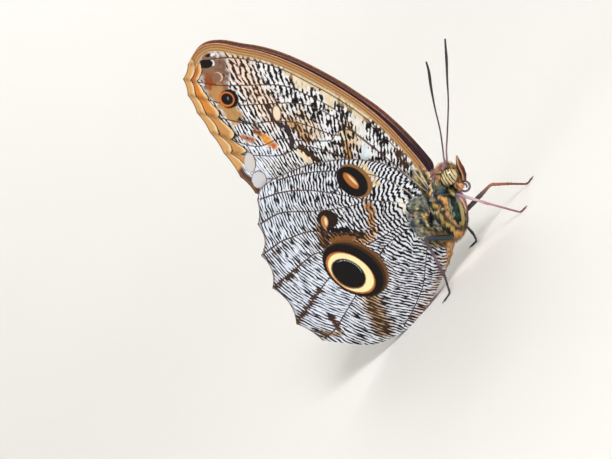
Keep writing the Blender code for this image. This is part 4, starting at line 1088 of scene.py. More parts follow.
def eye_material(settings):
    """Glossy cream eye with slanted dark bands."""
    graph = Graph("eye glaze")
    x, _, z = graph.parts(graph.place())
    bend = graph.noise(graph.place(), 0.9, 1.0) - 0.5
    slant = (x - EYE_CENTRE[0]) * 0.95 - (z - EYE_CENTRE[2]) * 0.31 + bend * 0.5
    band = ((slant * 8.0 + 0.6).sin() + bend * 2.6 - (slant - 1.0).clamp() * 0.9) * 2.8
    cells = graph.node("ShaderNodeTexVoronoi", {}, Vector=graph.place(), Scale=14.0, output="Distance")
    base = graph.mix(band.clamp() * 0.92, settings.eye, settings.eye_band)
    graph.set(Base_Color=graph.tint(base, cells * 0.3 + 0.86), Roughness=0.22, Coat_Weight=0.6,
              Coat_Roughness=0.06, Normal=graph.bump(cells, 0.12, 0.03))
    return graph.material


SIDES = ((1, "left"), (-1, "right"))


def make_eyes(material):
    for side, suffix in SIDES:
        centre = (EYE_CENTRE[0], side * EYE_CENTRE[1], EYE_CENTRE[2])
        points, faces = rounded((centre, EYE_SIZE, 0), 40, 56)
        add_piece(f"eye_{suffix}_globe", points, faces, material, [f"eye_{suffix}"], 180)


def surface_root(lump, direction, side):
    """Where a limb leaves an ellipsoid, and the way out."""
    centre, size, pitch = lump
    turn = Matrix.Rotation(-math.radians(pitch), 3, "Y")
    local = turn.inverted() @ Vector((direction[0], direction[1] * side, direction[2]))
    half = Vector(size) / 2
    scale = 1 / math.sqrt(sum((local[axis] / half[axis]) ** 2 for axis in range(3)))
    place = local * scale
    normal = Vector([place[axis] / half[axis] ** 2 for axis in range(3)]).normalized()
    return turn @ place + Vector(centre), turn @ normal


# Legs: coxa direction, then knee, shin end, foot joint and foot tip
FOOT = 0.24
LEGS = {
    "midleg_right": ((0.16, 0.46, -0.66), [(21.8, -6.3, 16.5), (25.2, -7.0, 8.9), (29.2, -7.2, FOOT),
                                           (31.2, -7.5, FOOT)]),
    "midleg_left": ((0.16, 0.46, -0.66), [(26.4, 6.4, 8.2), (29.4, 7.6, 4.4), (32.2, 9.0, FOOT),
                                          (34.2, 9.9, FOOT)]),
    "hindleg_right": ((-0.35, 0.42, -0.62), [(7.2, -7.2, 14.6), (3.0, -9.2, 4.1), (0.6, -10.4, FOOT),
                                             (-1.8, -11.7, FOOT)]),
    "hindleg_left": ((-0.35, 0.42, -0.62), [(13.8, 7.8, 12.9), (12.2, 7.6, 2.4), (11.2, 7.8, FOOT),
                                            (8.6, 8.4, FOOT)]),
}
# How far a thigh bows forward in mm, and its share of the full thickness, where it isn't 0 and 1
THIGHS = {"midleg_right": (0.8, 0.75), "hindleg_right": (0.0, 1.15)}
BOW_WAY = (0.78, 0.0, -0.62)
LEG_TINTS = {                     # root, thigh, knee, shin, ankle, foot
    "midleg_right": ((150, 134, 84), (176, 156, 92), (92, 70, 108), (206, 178, 188), (176, 128, 136),
                     (110, 60, 62)),
    # The left midleg's colours are much darker than the right one's: painted shade on the far side of the
    # body.
    "midleg_left": ((70, 56, 46), (76, 60, 50), (150, 90, 70), (150, 84, 62), (118, 60, 40), (90, 44, 32)),
    "hindleg_right": ((30, 40, 42), (28, 44, 50), (60, 54, 62), (104, 84, 96), (60, 46, 52), (34, 26, 28)),
    "hindleg_left": ((60, 50, 56), (64, 54, 60), (72, 58, 68), (66, 52, 62), (50, 40, 46), (40, 30, 34)),
}
BRISTLE_LENGTHS = (0.8, 1.3, 0.9, 1.0, 0.9, 0.4)
LEG_BRISTLE_SHADE = 0.8


def rounded_corners(joints, radius):
    """A path of straight runs with each corner rounded over the given length."""
    joints = [Vector(joint) for joint in joints]
    path = [joints[0]]
    for before, corner, after in zip(joints, joints[1:], joints[2:]):
        start = corner + (before - corner).normalized() * min(radius, 0.4 * (before - corner).length)
        end = corner + (after - corner).normalized() * min(radius, 0.4 * (after - corner).length)
        for t in np.linspace(0, 1, 6):
            path.append(start * (1 - t) ** 2 + corner * 2 * t * (1 - t) + end * t ** 2)
    path.append(joints[-1])
    dense = [path[0]]
    for point in path[1:]:
        start = dense[-1]
        pieces = max(1, round((point - start).length / 0.35))
        dense += [start.lerp(point, (index + 1) / pieces) for index in range(pieces)]
    return dense


def leg_radius(run, marks):
    """Thickness along a leg: full thigh, slimmer shin with a swollen end, five foot joints."""
    hip, knee, ankle, sole, tip = marks
    if run < hip:
        return 0.62
    if run < knee:
        t = (run - hip) / (knee - hip)
        return 0.5 + 0.2 * math.sin(math.pi * min(1.0, t * 1.1)) - 0.1 * t
    if run < ankle:
        t = (run - knee) / (ankle - knee)
        return 0.34 + 0.09 * (1 - t) + 0.1 * max(0.0, t - 0.85) / 0.15
    t = (run - ankle) / (tip - ankle) * 5
    return 0.27 - 0.015 * t + 0.05 * abs(math.sin(math.pi * t)) ** 0.5


def make_leg(name, material, settings):
    """A leg from hip to claws, with its spurs and a coat of short bristles."""
    side = 1 if name.endswith("left") else -1
    coxa, joints = LEGS[name]
    root, out = surface_root(BODY_LUMPS[0], coxa, side)
    stops = [root - out * 0.6, root + out * 0.9] + [Vector(joint) for joint in joints]
    marks = [float(value) for value in np.cumsum([(b - a).length for a, b in zip(stops, stops[1:])])]
    path = rounded_corners(stops, 0.7)
    runs = np.cumsum([0.0] + [(b - a).length for a, b in zip(path, path[1:])])
    bow, full = THIGHS.get(name, (0.0, 1.0))
    bent = [math.sin(math.pi * min(1.0, float(run) / marks[1])) * bow for run in runs]
    path = [place + Vector(BOW_WAY) * bend for place, bend in zip(map(Vector, path), bent)]
    radii = [leg_radius(run * marks[-1] / runs[-1], marks) * (full if run < marks[1] else 1.0)
             for run in runs]
    shapes = [tube(path, radii, 14)]
    ankle, tip, heading = stops[3], stops[5], (stops[5] - stops[4]).normalized()
    for turn in (-1, 1):
        across = heading.cross(Vector((0, 0, 1))).normalized() * turn
        claw = [tip, tip + heading * 0.35 + across * 0.16 + Vector((0, 0, 0.1)),
                tip + heading * 0.6 + across * 0.3 + Vector((0, 0, -0.02)),
                tip + heading * 0.62 + across * 0.34 + Vector((0, 0, -0.17))]
        claw = smooth_curve(claw, 0.1)
        shapes.append(tube(claw, spread((0.1, 0.08, 0.05, 0.015), len(claw)), 8))
        shin = (stops[3] - stops[2]).normalized()
        spur = shin.orthogonal().normalized() * turn * 0.5 + shin
        spur_line = [ankle - shin * 0.2, ankle + spur * 0.5, ankle + spur * 0.95]
        shapes.append(tube(spur_line, (0.12, 0.07, 0.015), 8))
    points, faces, along = merge(shapes)
    points = [Vector((point[0], point[1], max(0.0, point[2]))) for point in map(Vector, points)]
    piece = add_piece(f"{name}_shell", points, faces, material, [name], 60)
    run = [min(run * marks[-1] / runs[-1], marks[-1]) for run, _ in along[:len(shapes[0][0])]]
    run += [marks[-1]] * (len(along) - len(run))
    stops = [0.0, marks[0] + 0.6 * (marks[1] - marks[0]), marks[1], marks[2] * 0.6 + marks[1] * 0.4, marks[2],
             marks[4]]
    tint = colours_along(run, stops, LEG_TINTS[name])
    write_field(piece.data, "tint", tint)
    points, line = as_array(points), as_array(path)
    spots = np.arange(len(points)) < len(shapes[0][0])
    bristle = {"cover": spots * (points[:, 2] > 0.6), "long": np.interp(run, stops, BRISTLE_LENGTHS)}
    grow_coat(f"{name}_bristles", piece, "leg", settings, bristle, lie_along(points, line),
              lambda places: LEG_BRISTLE_SHADE * nearest_tint(places, points, tint), material,
              lambda places: limb_unwrap(places, line))


def nearest_tint(places, points, tint):
    """The painted colour at the mesh point nearest to each place, worked out in batches."""
    found = [np.argmin(np.linalg.norm(batch[:, None] - points[None], axis=2), axis=1)
             for batch in np.array_split(places, max(1, len(places) // 500))]
    return tint[np.concatenate(found)]


def colours_along(run, stops, values):
    """A colour for each place along a limb, from display colours at a few stops."""
    colours = np.array([tone(*value) for value in values])
    return np.stack([np.interp(run, stops, colours[:, channel]) for channel in range(3)], axis=1)


FORELEG_LINE = [(5.6, -1.2), (4.9, -3.4), (3.0, -4.9), (0.6, -5.4), (-1.6, -5.2)]   # along, across the thorax
FORELEG_AWAY = 0.66                # from the thorax to the limb's middle
FORELEG_RADII = (0.24, 0.36, 0.4, 0.36, 0.3, 0.2)


def flat_foreleg(side):
    """The small folded front leg, laid along the thorax."""
    c, s = math.cos(THORAX_PITCH), math.sin(THORAX_PITCH)
    half = Vector((THORAX_LENGTH, THORAX_WIDTH, THORAX_DEPTH)) / 2
    path = []
    for along, across in smooth_curve(FORELEG_LINE, 0.4):
        width = half.y * math.sqrt(1 - (along / half.x) ** 2 - (across / half.z) ** 2)
        out = Vector((along / half.x ** 2, width / half.y ** 2, across / half.z ** 2)).normalized()
        place = Vector((along, width, across)) + out * FORELEG_AWAY
        path.append((THORAX_CENTRE[0] + place.x * c - place.z * s, side * place.y,
                     THORAX_CENTRE[1] + place.x * s + place.z * c))
    return tube(path, spread(FORELEG_RADII, len(path)), 14)


# Feelers, palps and coiled tongue
FEELERS = {
    "antenna_right": [(26.2, -1.9, 24.1), (28.0, -2.6, 25.9), (32.3, -4.7, 30.4), (36.6, -7.1, 35.6),
                      (40.6, -9.2, 40.1), (43.9, -10.9, 43.5), (45.7, -11.9, 45.8)],
    "antenna_left": [(26.0, 1.7, 23.1), (27.4, 2.3, 24.4), (31.7, 4.3, 27.7), (36.9, 6.7, 31.9),
                     (40.9, 8.6, 35.7), (44.7, 10.3, 39.2), (48.3, 11.9, 42.8)],
}
FEELER_RADII = (0.32, 0.24, 0.22, 0.21, 0.22, 0.3, 0.4, 0.24)
FEELER_RING = 0.62
PALP_LINE = [(24.8, 1.15, 16.3), (25.9, 1.2, 17.6), (26.8, 1.2, 19.4), (28.1, 1.15, 21.4)]
PALP_RADII = (0.6, 0.78, 0.85, 0.65, 0.25)
# Across a palp, from its rear to its front edge: place, half width, softness, colour
PALP_STRIPES = [(0.9, 0.2, 0.2, (170, 130, 70)), (0.4, 0.3, 0.14, (58, 24, 18)),
                (-0.04, 0.08, 0.1, (216, 180, 142)), (-0.4, 0.16, 0.14, (132, 66, 40)),
                (-0.75, 0.16, 0.1, (70, 30, 22))]
TONGUE_CENTRE = (23.1, 14.5)
TONGUE_RADII = (1.8, 0.6)
TONGUE_TURNS = 1.5
TONGUE_RING = 0.3


def make_feeler(name, material):
    side = 1 if name.endswith("left") else -1
    root, out = surface_root(BODY_LUMPS[2], (0.62, 0.22, 0.76), side)
    path = smooth_curve([root, root + out * 0.7] + FEELERS[name], 0.1)
    runs = np.cumsum([0.0] + [float(np.linalg.norm(b - a)) for a, b in zip(path, path[1:])])
    radii = np.array(spread(FEELER_RADII, len(path)))
    radii = radii * (1 - 0.12 * np.cos(2 * math.pi * runs / FEELER_RING) ** 8)
    points, faces, along = tube(path, radii, 12)
    piece = add_piece(f"{name}_rings", points, faces, material, [name], 60)
    run = np.array([run for run, _ in along])
    base, middle, club = (np.array(tone(*value)) for value in ((150, 118, 128), (72, 48, 56), (34, 26, 28)))
    tint = base + smooth_step(1.0, 12.0, run)[:, None] * (middle - base)
    tint += smooth_step(16.0, 30.0, run)[:, None] * (club - tint)
    tint *= (1 - 0.45 * np.cos(math.pi * run / FEELER_RING) ** 10)[:, None]
    write_field(piece.data, "tint", tint)


def make_tongue(material):
    path = []
    for t in np.linspace(0, 1, 110):
        angle = math.radians(112) - t * TONGUE_TURNS * 2 * math.pi
        radius = TONGUE_RADII[0] + t * (TONGUE_RADII[1] - TONGUE_RADII[0])
        path.append((TONGUE_CENTRE[0] + radius * math.cos(angle), 0.0,
                     TONGUE_CENTRE[1] + radius * math.sin(angle)))
    points, faces, along = tube(path, spread((0.32, 0.3, 0.24), len(path)), 14)
    piece = add_piece("tongue_coil", points, faces, material, ["proboscis"], 60)
    run = np.array([run for run, _ in along])
    rings = 1 - 0.25 * np.cos(2 * math.pi * run / TONGUE_RING) ** 6
    write_field(piece.data, "tint", np.outer(rings, tone(112, 92, 104)))


def palp_path(side):
    root, out = surface_root(BODY_LUMPS[2], (0.52, 0.38, -0.76), side)
    line = [(x, side * y, z) for x, y, z in PALP_LINE]
    return smooth_curve([root - out * 0.3, root + out * 0.5] + line, 0.2)


def make_palps(material, settings):
    """Upturned palps: a core each, and a flat brush of hair along it."""
    for side, suffix in SIDES:
        path = palp_path(side)
        points, faces, along = tube(path, [radius * 0.8 for radius in spread(PALP_RADII, len(path))], 20)
        piece = add_piece(f"palp_{suffix}_core", points, faces, material, [f"palp_{suffix}"], 60)
        places = as_array(points)
        write_field(piece.data, "tint", palp_tint(places))
        share = np.array([run for run, _ in along]) / along[-1][0]
        fields = {"cover": np.ones(len(share)), "long": 1.1 - 0.75 * share ** 2}
        grow_coat(f"palp_{suffix}_coat", piece, "palp", settings, fields, lie_along(places, path), palp_tint,
                  material, lambda spots, way=path: limb_unwrap(spots, way))


def lie_along(points, path):
    """The way ahead along a path at the place on it nearest to each point."""
    nearest = np.argmin(np.linalg.norm(points[:, None] - path[None], axis=2), axis=1)
    ahead = np.gradient(path, axis=0)[nearest]
    return ahead / np.linalg.norm(ahead, axis=1)[:, None]


def limb_unwrap(points, path):
    """A place on a limb as a turn round its path and a run along it, both 0 to 1."""
    nearest = np.argmin(np.linalg.norm(points[:, None] - path[None], axis=2), axis=1)
    away = points - path[nearest]
    turn = np.arctan2(away[:, 1], away[:, 0] - away[:, 2]) / (2 * math.pi) + 0.5
    return np.stack((turn * 0.98 + 0.01, nearest / len(path) * 0.9 + 0.05), axis=1)


def palp_tint(points):
    """Brown palps with a dark stripe and a cream line along the side, and a golden rear edge."""
    line = smooth_curve([(x, z) for x, _, z in PALP_LINE], 0.2)
    away, _, rear = near_line(points[:, [0, 2]], line)
    away = away * (2 * rear - 1)
    tint = np.tile(tone(140, 82, 46), (len(points), 1))
    for centre, half, soft, colour in PALP_STRIPES:
        cover = 1 - smooth_step(half, half + soft, np.abs(away - centre))
        tint += cover[:, None] * (np.array(tone(*colour)) - tint)
    return tint


def make_forelegs(material):
    for side, suffix in SIDES:
        points, faces, _ = flat_foreleg(side)
        piece = add_piece(f"foreleg_{suffix}_shell", points, faces, material,
                          [f"foreleg_{suffix}"], 60)
        write_field(piece.data, "tint", body_tint(as_array(points)))


# Coats: tufts per square millimetre, then length and width in mm, and how far they lean
COATS = {
    "head": dict(density=34.0, length=1.15, width=0.085, lean=0.5, seed=3),
    "thorax": dict(density=22.0, length=1.35, width=0.12, lean=0.7, seed=5),
    "abdomen": dict(density=13.0, length=1.1, width=0.1, lean=0.74, seed=7),
    "palp": dict(density=60.0, length=0.7, width=0.06, lean=0.8, seed=11),
    "leg": dict(density=9.0, length=0.42, width=0.045, lean=0.72, seed=13),
}
TUFT_SIDES = 3
TUFT_POINTS = 10                  # three rings of three and a tip
TUFT_ASTRAY = 0.22                # how far a tuft may point away from the coat's lie
TUFT_CHANCE = (0.6, 1.2)          # its shortest and longest, as shares of its length
HEAD_START = 19.4                 # X on the drawing where the head's finer coat begins, mm
ABDOMEN_START = 9.3               # and where the abdomen's ends


def add_node(group, kind, settings=None, **values):
    """A node in a geometry group: settings first, then values or links to its named inputs."""
    node = group.nodes.new(kind)
    for key, value in (settings or {}).items():
        setattr(node, key, value)
    for key, value in values.items():
        socket = node.inputs[key.replace("_", " ")]
        if isinstance(value, bpy.types.NodeSocket):
            group.links.new(value, socket)
        else:
            socket.default_value = value
    return node


def carried(group, name, kind="FLOAT"):
    """A field that the skin carries under this name."""
    return add_node(group, "GeometryNodeInputNamedAttribute", {"data_type": kind}, Name=name).outputs[0]


def coat_group():
    """Scatters bent tufts over a skin, thinned and combed by its own fields."""
    group = bpy.data.node_groups.new("Coat", "GeometryNodeTree")
    for name, kind in (("Geometry", "Geometry"), ("Density", "Float"), ("Length", "Float"),
                       ("Width", "Float"), ("Lean", "Float"), ("Seed", "Int"), ("Surface", "Material")):
        group.interface.new_socket(name, in_out="INPUT", socket_type=f"NodeSocket{kind}")
    group.interface.new_socket("Geometry", in_out="OUTPUT", socket_type="NodeSocketGeometry")
    start = group.nodes.new("NodeGroupInput").outputs
    cover, long = carried(group, "cover"), carried(group, "long")
    comb = carried(group, "comb", "FLOAT_VECTOR")
    dense = math_node(group, "MULTIPLY", start["Density"], cover)
    scatter = add_node(group, "GeometryNodeDistributePointsOnFaces", None, Mesh=start["Geometry"],
                       Density=dense, Seed=start["Seed"])
    here = add_node(group, "GeometryNodeInputPosition").outputs[0]
    rooted = add_node(group, "GeometryNodeStoreNamedAttribute",
                      {"data_type": "FLOAT_VECTOR", "domain": "POINT"},
                      Geometry=scatter.outputs["Points"], Name="root", Value=here)
    wild = add_node(group, "FunctionNodeRandomValue", {"data_type": "FLOAT_VECTOR"}, Seed=start["Seed"])
    wild.inputs[0].default_value = (-TUFT_ASTRAY, -TUFT_ASTRAY, -TUFT_ASTRAY)
    wild.inputs[1].default_value = (TUFT_ASTRAY, TUFT_ASTRAY, TUFT_ASTRAY)
    upright = math_node(group, "SUBTRACT", 1.0, start["Lean"])
    rise = vector_node(group, "SCALE", scatter.outputs["Normal"], scale=upright)
    swept = vector_node(group, "SCALE", comb, scale=start["Lean"])
    heading = vector_node(group, "ADD", vector_node(group, "ADD", rise, swept), wild.outputs[0])
    stand = add_node(group, "FunctionNodeAlignRotationToVector", {"axis": "Z"}, Vector=heading)
    turned = add_node(group, "FunctionNodeAlignRotationToVector", {"axis": "X", "pivot_axis": "Z"},
                      Rotation=stand.outputs[0], Vector=comb)
    cone = add_node(group, "GeometryNodeMeshCone", {"fill_type": "NGON"}, Vertices=TUFT_SIDES,
                    Side_Segments=3, Radius_Top=0.0, Radius_Bottom=0.5, Depth=1.0)
    place = add_node(group, "GeometryNodeInputPosition").outputs[0]
    height = add_node(group, "ShaderNodeSeparateXYZ", None, Vector=place).outputs["Z"]
    marked = add_node(group, "GeometryNodeStoreNamedAttribute", {"data_type": "FLOAT", "domain": "POINT"},
                      Geometry=cone.outputs["Mesh"], Name="along", Value=height)
    bow = math_node(group, "MULTIPLY", math_node(group, "POWER", height, 2.0), 1.6)
    bent = add_node(group, "GeometryNodeSetPosition", None, Geometry=marked.outputs[0],
                    Offset=add_node(group, "ShaderNodeCombineXYZ", None, X=bow).outputs[0])
    chance = add_node(group, "FunctionNodeRandomValue", {"data_type": "FLOAT"}, Seed=start["Seed"])
    chance.inputs[2].default_value = TUFT_CHANCE[0]
    chance.inputs[3].default_value = TUFT_CHANCE[1]
    full = math_node(group, "MULTIPLY", start["Length"], long)
    tall = math_node(group, "MULTIPLY", full, chance.outputs[1])
    size = add_node(group, "ShaderNodeCombineXYZ", None, X=start["Width"], Y=start["Width"], Z=tall)
    planted = add_node(group, "GeometryNodeInstanceOnPoints", None, Points=rooted.outputs[0],
                       Instance=bent.outputs[0], Rotation=turned.outputs[0], Scale=size.outputs[0])
    real = add_node(group, "GeometryNodeRealizeInstances", None, Geometry=planted.outputs[0])
    dressed = add_node(group, "GeometryNodeSetMaterial", None, Geometry=real.outputs[0],
                       Material=start["Surface"])
    group.links.new(dressed.outputs[0], group.nodes.new("NodeGroupOutput").inputs[0])
    return group


def math_node(group, operation, a, b):
    node = group.nodes.new("ShaderNodeMath")
    node.operation = operation
    for socket, value in zip(node.inputs, (a, b)):
        if isinstance(value, bpy.types.NodeSocket):
            group.links.new(value, socket)
        else:
            socket.default_value = value
    return node.outputs[0]


def vector_node(group, operation, a, b=None, scale=None):
    node = group.nodes.new("ShaderNodeVectorMath")
    node.operation = operation
    group.links.new(a, node.inputs[0])
    if b is not None:
        group.links.new(b, node.inputs[1])
    if scale is not None:
        group.links.new(scale, node.inputs["Scale"])
    return node.outputs[0]


def comb_field(points):
    """The way that the coat lies: back from the neck to the tail, and forward and up on the face."""
    way = np.tile((-0.62, 0.0, -0.55), (len(points), 1))
    for low, high, target in ((11.0, 8.0, (-0.9, 0.0, -0.25)), (19.6, 21.4, (-0.25, 0.0, 0.55)),
                              (23.2, 24.2, (0.5, 0.0, 0.72))):
        way += smooth_step(low, high, points[:, 0])[:, None] * (np.array(target) - way)
    chin = smooth_step(17.2, 16.2, points[:, 2]) * smooth_step(20.6, 21.8, points[:, 0])
    way += chin[:, None] * (np.array((0.3, 0.0, -0.75)) - way)
    way[:, 1] += 0.25 * np.sign(points[:, 1])
    return way / np.linalg.norm(way, axis=1)[:, None]


def inside_outline(points, outline):
    """Whether each place lies within a closed line."""
    inside = np.zeros(len(points), bool)
    for a, b in zip(outline, np.roll(outline, -1, axis=0)):
        crosses = (a[1] > points[:, 1]) != (b[1] > points[:, 1])
        at = a[0] + (points[:, 1] - a[1]) / (b[1] - a[1] + 1e-12) * (b[0] - a[0])
        inside ^= crosses & (points[:, 0] < at)
    return inside


def under_wings(points):
    """How far a place on the body lies in under the wings, 0 to 1."""
    flat = points[:, [0, 2]]
    deep = np.zeros(len(points))
    for wing in WINGS.values():
        outline = wing_outline(wing, -1)
        away = near_line(flat, np.vstack((outline, outline[:1])))[0]
        deep = np.maximum(deep, np.where(inside_outline(flat, outline), smooth_step(-0.2, 0.9, away), 0))
    return deep


def coat_cover(points):
    """Where hair grows and how long: none on the eyes and hinges, short near them and on the flanks."""
    gap = np.full(len(points), 9.0)
    for side in (-1, 1):
        centre = np.array((EYE_CENTRE[0], side * EYE_CENTRE[1], EYE_CENTRE[2]))
        gap = np.minimum(gap, np.linalg.norm((points - centre) / (np.array(EYE_SIZE) / 2), axis=1) - 1)
    deep = under_wings(points)
    flank = smooth_step(0.8, 2.8, np.abs(points[:, 1])) * smooth_step(21.0, 19.0, points[:, 0])
    chin = smooth_step(17.4, 16.4, points[:, 2]) * smooth_step(20.6, 21.6, points[:, 0])
    long = (0.4 + 0.6 * smooth_step(0.05, 0.7, gap)) * (1 - 0.7 * deep) * (1 - 0.5 * flank) * (1 - 0.6 * chin)
    return (gap > 0.08) * (deep < 0.95), long


def grow_coat(name, skin, kind, settings, fields, comb, tinted, material, unwrap):
    """A coat of solid tufts on a skin, coloured like it, each tuft a small patch of the map at its root."""
    sizes = COATS[kind]
    host = bpy.data.objects.new(name, skin.data.copy())
    bpy.context.scene.collection.objects.link(host)
    for key, values in fields.items():
        write_field(host.data, key, values)
    host.data.attributes.new("comb", "FLOAT_VECTOR", "POINT").data.foreach_set(
        "vector", np.asarray(comb, np.float32).ravel())
    coat = host.modifiers.new("Coat", "NODES")
    coat.node_group = bpy.data.node_groups.get("Coat") or coat_group()
    sockets = {item.name: item.identifier for item in coat.node_group.interface.items_tree
               if item.in_out == "INPUT"}
    for key, value in (("Density", sizes["density"] * settings.density / MM ** 2),
                       ("Length", sizes["length"] * settings.length * MM), ("Width", sizes["width"] * MM),
                       ("Lean", sizes["lean"]), ("Seed", sizes["seed"]), ("Surface", material)):
        coat[sockets[key]] = value
    bpy.context.view_layer.update()
    mesh = bpy.data.meshes.new_from_object(host.evaluated_get(bpy.context.evaluated_depsgraph_get()))
    host.modifiers.clear()
    host.data = mesh
    roots = np.empty(len(mesh.vertices) * 3, np.float32)
    mesh.attributes["root"].data.foreach_get("vector", roots)
    roots = on_drawing(roots)
    along = np.empty(len(mesh.vertices), np.float32)
    mesh.attributes["along"].data.foreach_get("value", along)
    for key in ("root", "along", "comb", *fields):
        if key in mesh.attributes:
            mesh.attributes.remove(mesh.attributes[key])
    tufts = len(roots) // TUFT_POINTS
    shade = np.random.default_rng(sizes["seed"]).uniform(0.75, 1.25, tufts).repeat(TUFT_POINTS)
    astray = np.random.default_rng(sizes["seed"] + 1).normal(0.0, 0.14, (tufts, 3))
    tint = tinted(roots + astray.repeat(TUFT_POINTS, axis=0))
    # Each tuft is painted darker at its root and paler at its tip: painted shade deep in the coat, times a
    # random tone for each tuft.
    write_field(mesh, "tint", tint * (shade * (0.62 + 0.5 * along))[:, None])
    patch = np.stack((0.003 * (along - 0.5), 0.0015 * (np.arange(len(along)) % TUFT_SIDES - 1)), axis=1)
    write_map(mesh, "OFBake", (unwrap(roots) + patch)[corner_points(mesh)])
    return finish_piece(host, material)


MIDLINE = [(-9.0, 2.2), (-2.4, 3.9), (5.2, 7.3), (9.0, 9.6), (14.3, 14.2), (18.2, 20.4), (22.4, 19.2),
           (26.0, 17.0)]


def body_unwrap(points):
    """A place on the body as a turn round its midline and a run along it, both 0 to 1."""
    points = np.asarray(points, float)
    away, run, side = near_line(points[:, [0, 2]], MIDLINE)
    around = np.arctan2(points[:, 1], away * (2 * side - 1)) / (2 * math.pi) + 0.5
    return np.stack((around * 0.98 + 0.01, run / 45.0 + 0.05), axis=1)


def make_body(settings):
    """The skin of head, thorax and abdomen, and the coats that grow on it."""
    hair = soft_material("body hair")
    skin = make_skin(hair)
    points = np.empty(len(skin.data.vertices) * 3, np.float32)
    skin.data.vertices.foreach_get("co", points)
    points = on_drawing(points)
    cover, long = coat_cover(points)
    comb = comb_field(points)
    head = points[:, 0] > HEAD_START
    tail = points[:, 0] < ABDOMEN_START
    for kind, keep in (("head", head), ("thorax", ~head & ~tail), ("abdomen", tail)):
        fields = {"cover": (cover * keep).astype(float), "long": long}
        grow_coat(f"{kind}_coat", skin, kind, settings, fields, comb, body_tint, hair, body_unwrap)


# A floor that rises into a bowl: radius and height in metres
FLOOR_PROFILE = [(0.3, 0.0), (0.6, 0.0), (0.9, 0.05), (1.2, 0.22), (1.5, 0.55), (1.8, 1.1), (2.1, 1.9)]
FLOOR_SIDES = 72
# Area lights: name, place, size in metres, and share of the key light's power
LIGHTS = [
    ("key", (0.75, -0.95, 1.15), 0.7, 1.0),
    ("fill", (-1.1, -1.1, 0.55), 1.2, 0.32),
    ("back", (-0.2, 1.3, 0.9), 1.0, 0.37),
]
LIT_PLACE = (0, 0, 0.04)


def make_floor(colour):
    shell = bmesh.new()
    rings = []
    for radius, height in FLOOR_PROFILE:
        rings.append([shell.verts.new((radius * math.cos(t), radius * math.sin(t), height))
                      for t in np.linspace(0, 2 * math.pi, FLOOR_SIDES, endpoint=False)])
    shell.faces.new(rings[0])
    for low, high in zip(rings, rings[1:]):
        for index in range(FLOOR_SIDES):
            after = (index + 1) % FLOOR_SIDES
            shell.faces.new((low[index], high[index], high[after], low[after]))
    bmesh.ops.recalc_face_normals(shell, faces=shell.faces)
    if sum(face.normal.z for face in shell.faces) < 0:
        bmesh.ops.reverse_faces(shell, faces=shell.faces)
    mesh = bpy.data.meshes.new("floor")
    shell.to_mesh(mesh)
    shell.free()
    mesh.shade_smooth()
    floor = bpy.data.objects.new("floor", mesh)
    bpy.context.scene.collection.objects.link(floor)
    graph = Graph("pale floor")
    graph.set(Base_Color=tuple(colour), Roughness=0.7)
    mesh.materials.append(graph.material)


def make_lights(power):
    scene = bpy.context.scene
    for name, place, size, share in LIGHTS:
        light = bpy.data.lights.new(name, "AREA")
        light.shape = "DISK"
        light.size = size
        light.energy = power * share
        lamp = bpy.data.objects.new(name, light)
        lamp.location = place
        lamp.rotation_euler = (Vector(LIT_PLACE) - Vector(place)).to_track_quat("-Z", "Y").to_euler()
        lamp.visible_camera = False
        scene.collection.objects.link(lamp)
    world = bpy.data.worlds.new("pale room")
    world.use_nodes = True
    background = world.node_tree.nodes["Background"].inputs
    background["Color"].default_value = (*tone(232, 230, 226), 1.0)
    background["Strength"].default_value = 0.35
    scene.world = world
    scene.view_settings.view_transform = "Standard"


def make_camera():
    """The camera at the photo's angle, with the frame rolled as the photo's is."""
    lens = bpy.data.cameras.new("camera")
    lens.lens = LENS
    lens.sensor_width = 36
    lens.clip_start = 0.01
    camera = bpy.data.objects.new("camera", lens)
    ahead = Vector((-math.sin(VIEW_AZIMUTH) * math.cos(VIEW_ELEVATION),
                    math.cos(VIEW_AZIMUTH) * math.cos(VIEW_ELEVATION), -math.sin(VIEW_ELEVATION)))
    right = Vector((math.cos(VIEW_AZIMUTH), math.sin(VIEW_AZIMUTH), 0))
    up = right.cross(ahead)
    c, s = math.cos(VIEW_ROLL), math.sin(VIEW_ROLL)
    turn = Matrix((right * c - up * s, right * s + up * c, -ahead)).transposed()
    target = Vector(on_plane([VIEW_TARGET])[0])
    camera.matrix_world = Matrix.Translation(target - ahead * VIEW_DISTANCE * MM) @ turn.to_4x4()
    bpy.context.scene.collection.objects.link(camera)
    bpy.context.scene.camera = camera


def make_wings(kind, settings):
    period = settings.fore_stripe if kind == "forewing" else settings.hind_stripe
    material = wing_material(kind, period / MM)
    for side in (-1, 1):
        make_wing(kind, side, material, settings)


def size_setting(name, description, default):
    """A length that a user may change, its default given in millimetres."""
    return bpy.props.FloatProperty(name=name, description=description, default=default * MM, min=0.0,
                                   precision=5, subtype="DISTANCE", unit="LENGTH")


def colour_setting(name, description, default):
    return bpy.props.FloatVectorProperty(name=name, description=description, default=default, size=3, min=0.0,
                                         max=1.0, subtype="COLOR")


def share_setting(name, description, default):
    return bpy.props.FloatProperty(name=name, description=description, default=default, min=0.1, max=2.0,
                                   subtype="FACTOR")


class WingSettings(bpy.types.PropertyGroup):
    sheet: size_setting("Sheet thickness", "Thickness of a wing between its veins", 0.18)
    vein: size_setting("Vein height", "How far a vein stands out of the sheet at the root", 0.13)
    fore_stripe: size_setting("Forewing stripes", "From one dark stripe of the forewing to the next", 1.12)
    hind_stripe: size_setting("Hindwing stripes", "From one dark stripe of the hindwing to the next", 0.78)
    fore_pale: colour_setting("Forewing ground", "Colour between the forewing's stripes", tone(222, 221, 224))
    hind_pale: colour_setting("Hindwing ground", "Colour between the hindwing's stripes", tone(214, 217, 226))
    dark: colour_setting("Stripes", "Colour of the dark stripes of both wings", tone(*BLACK))


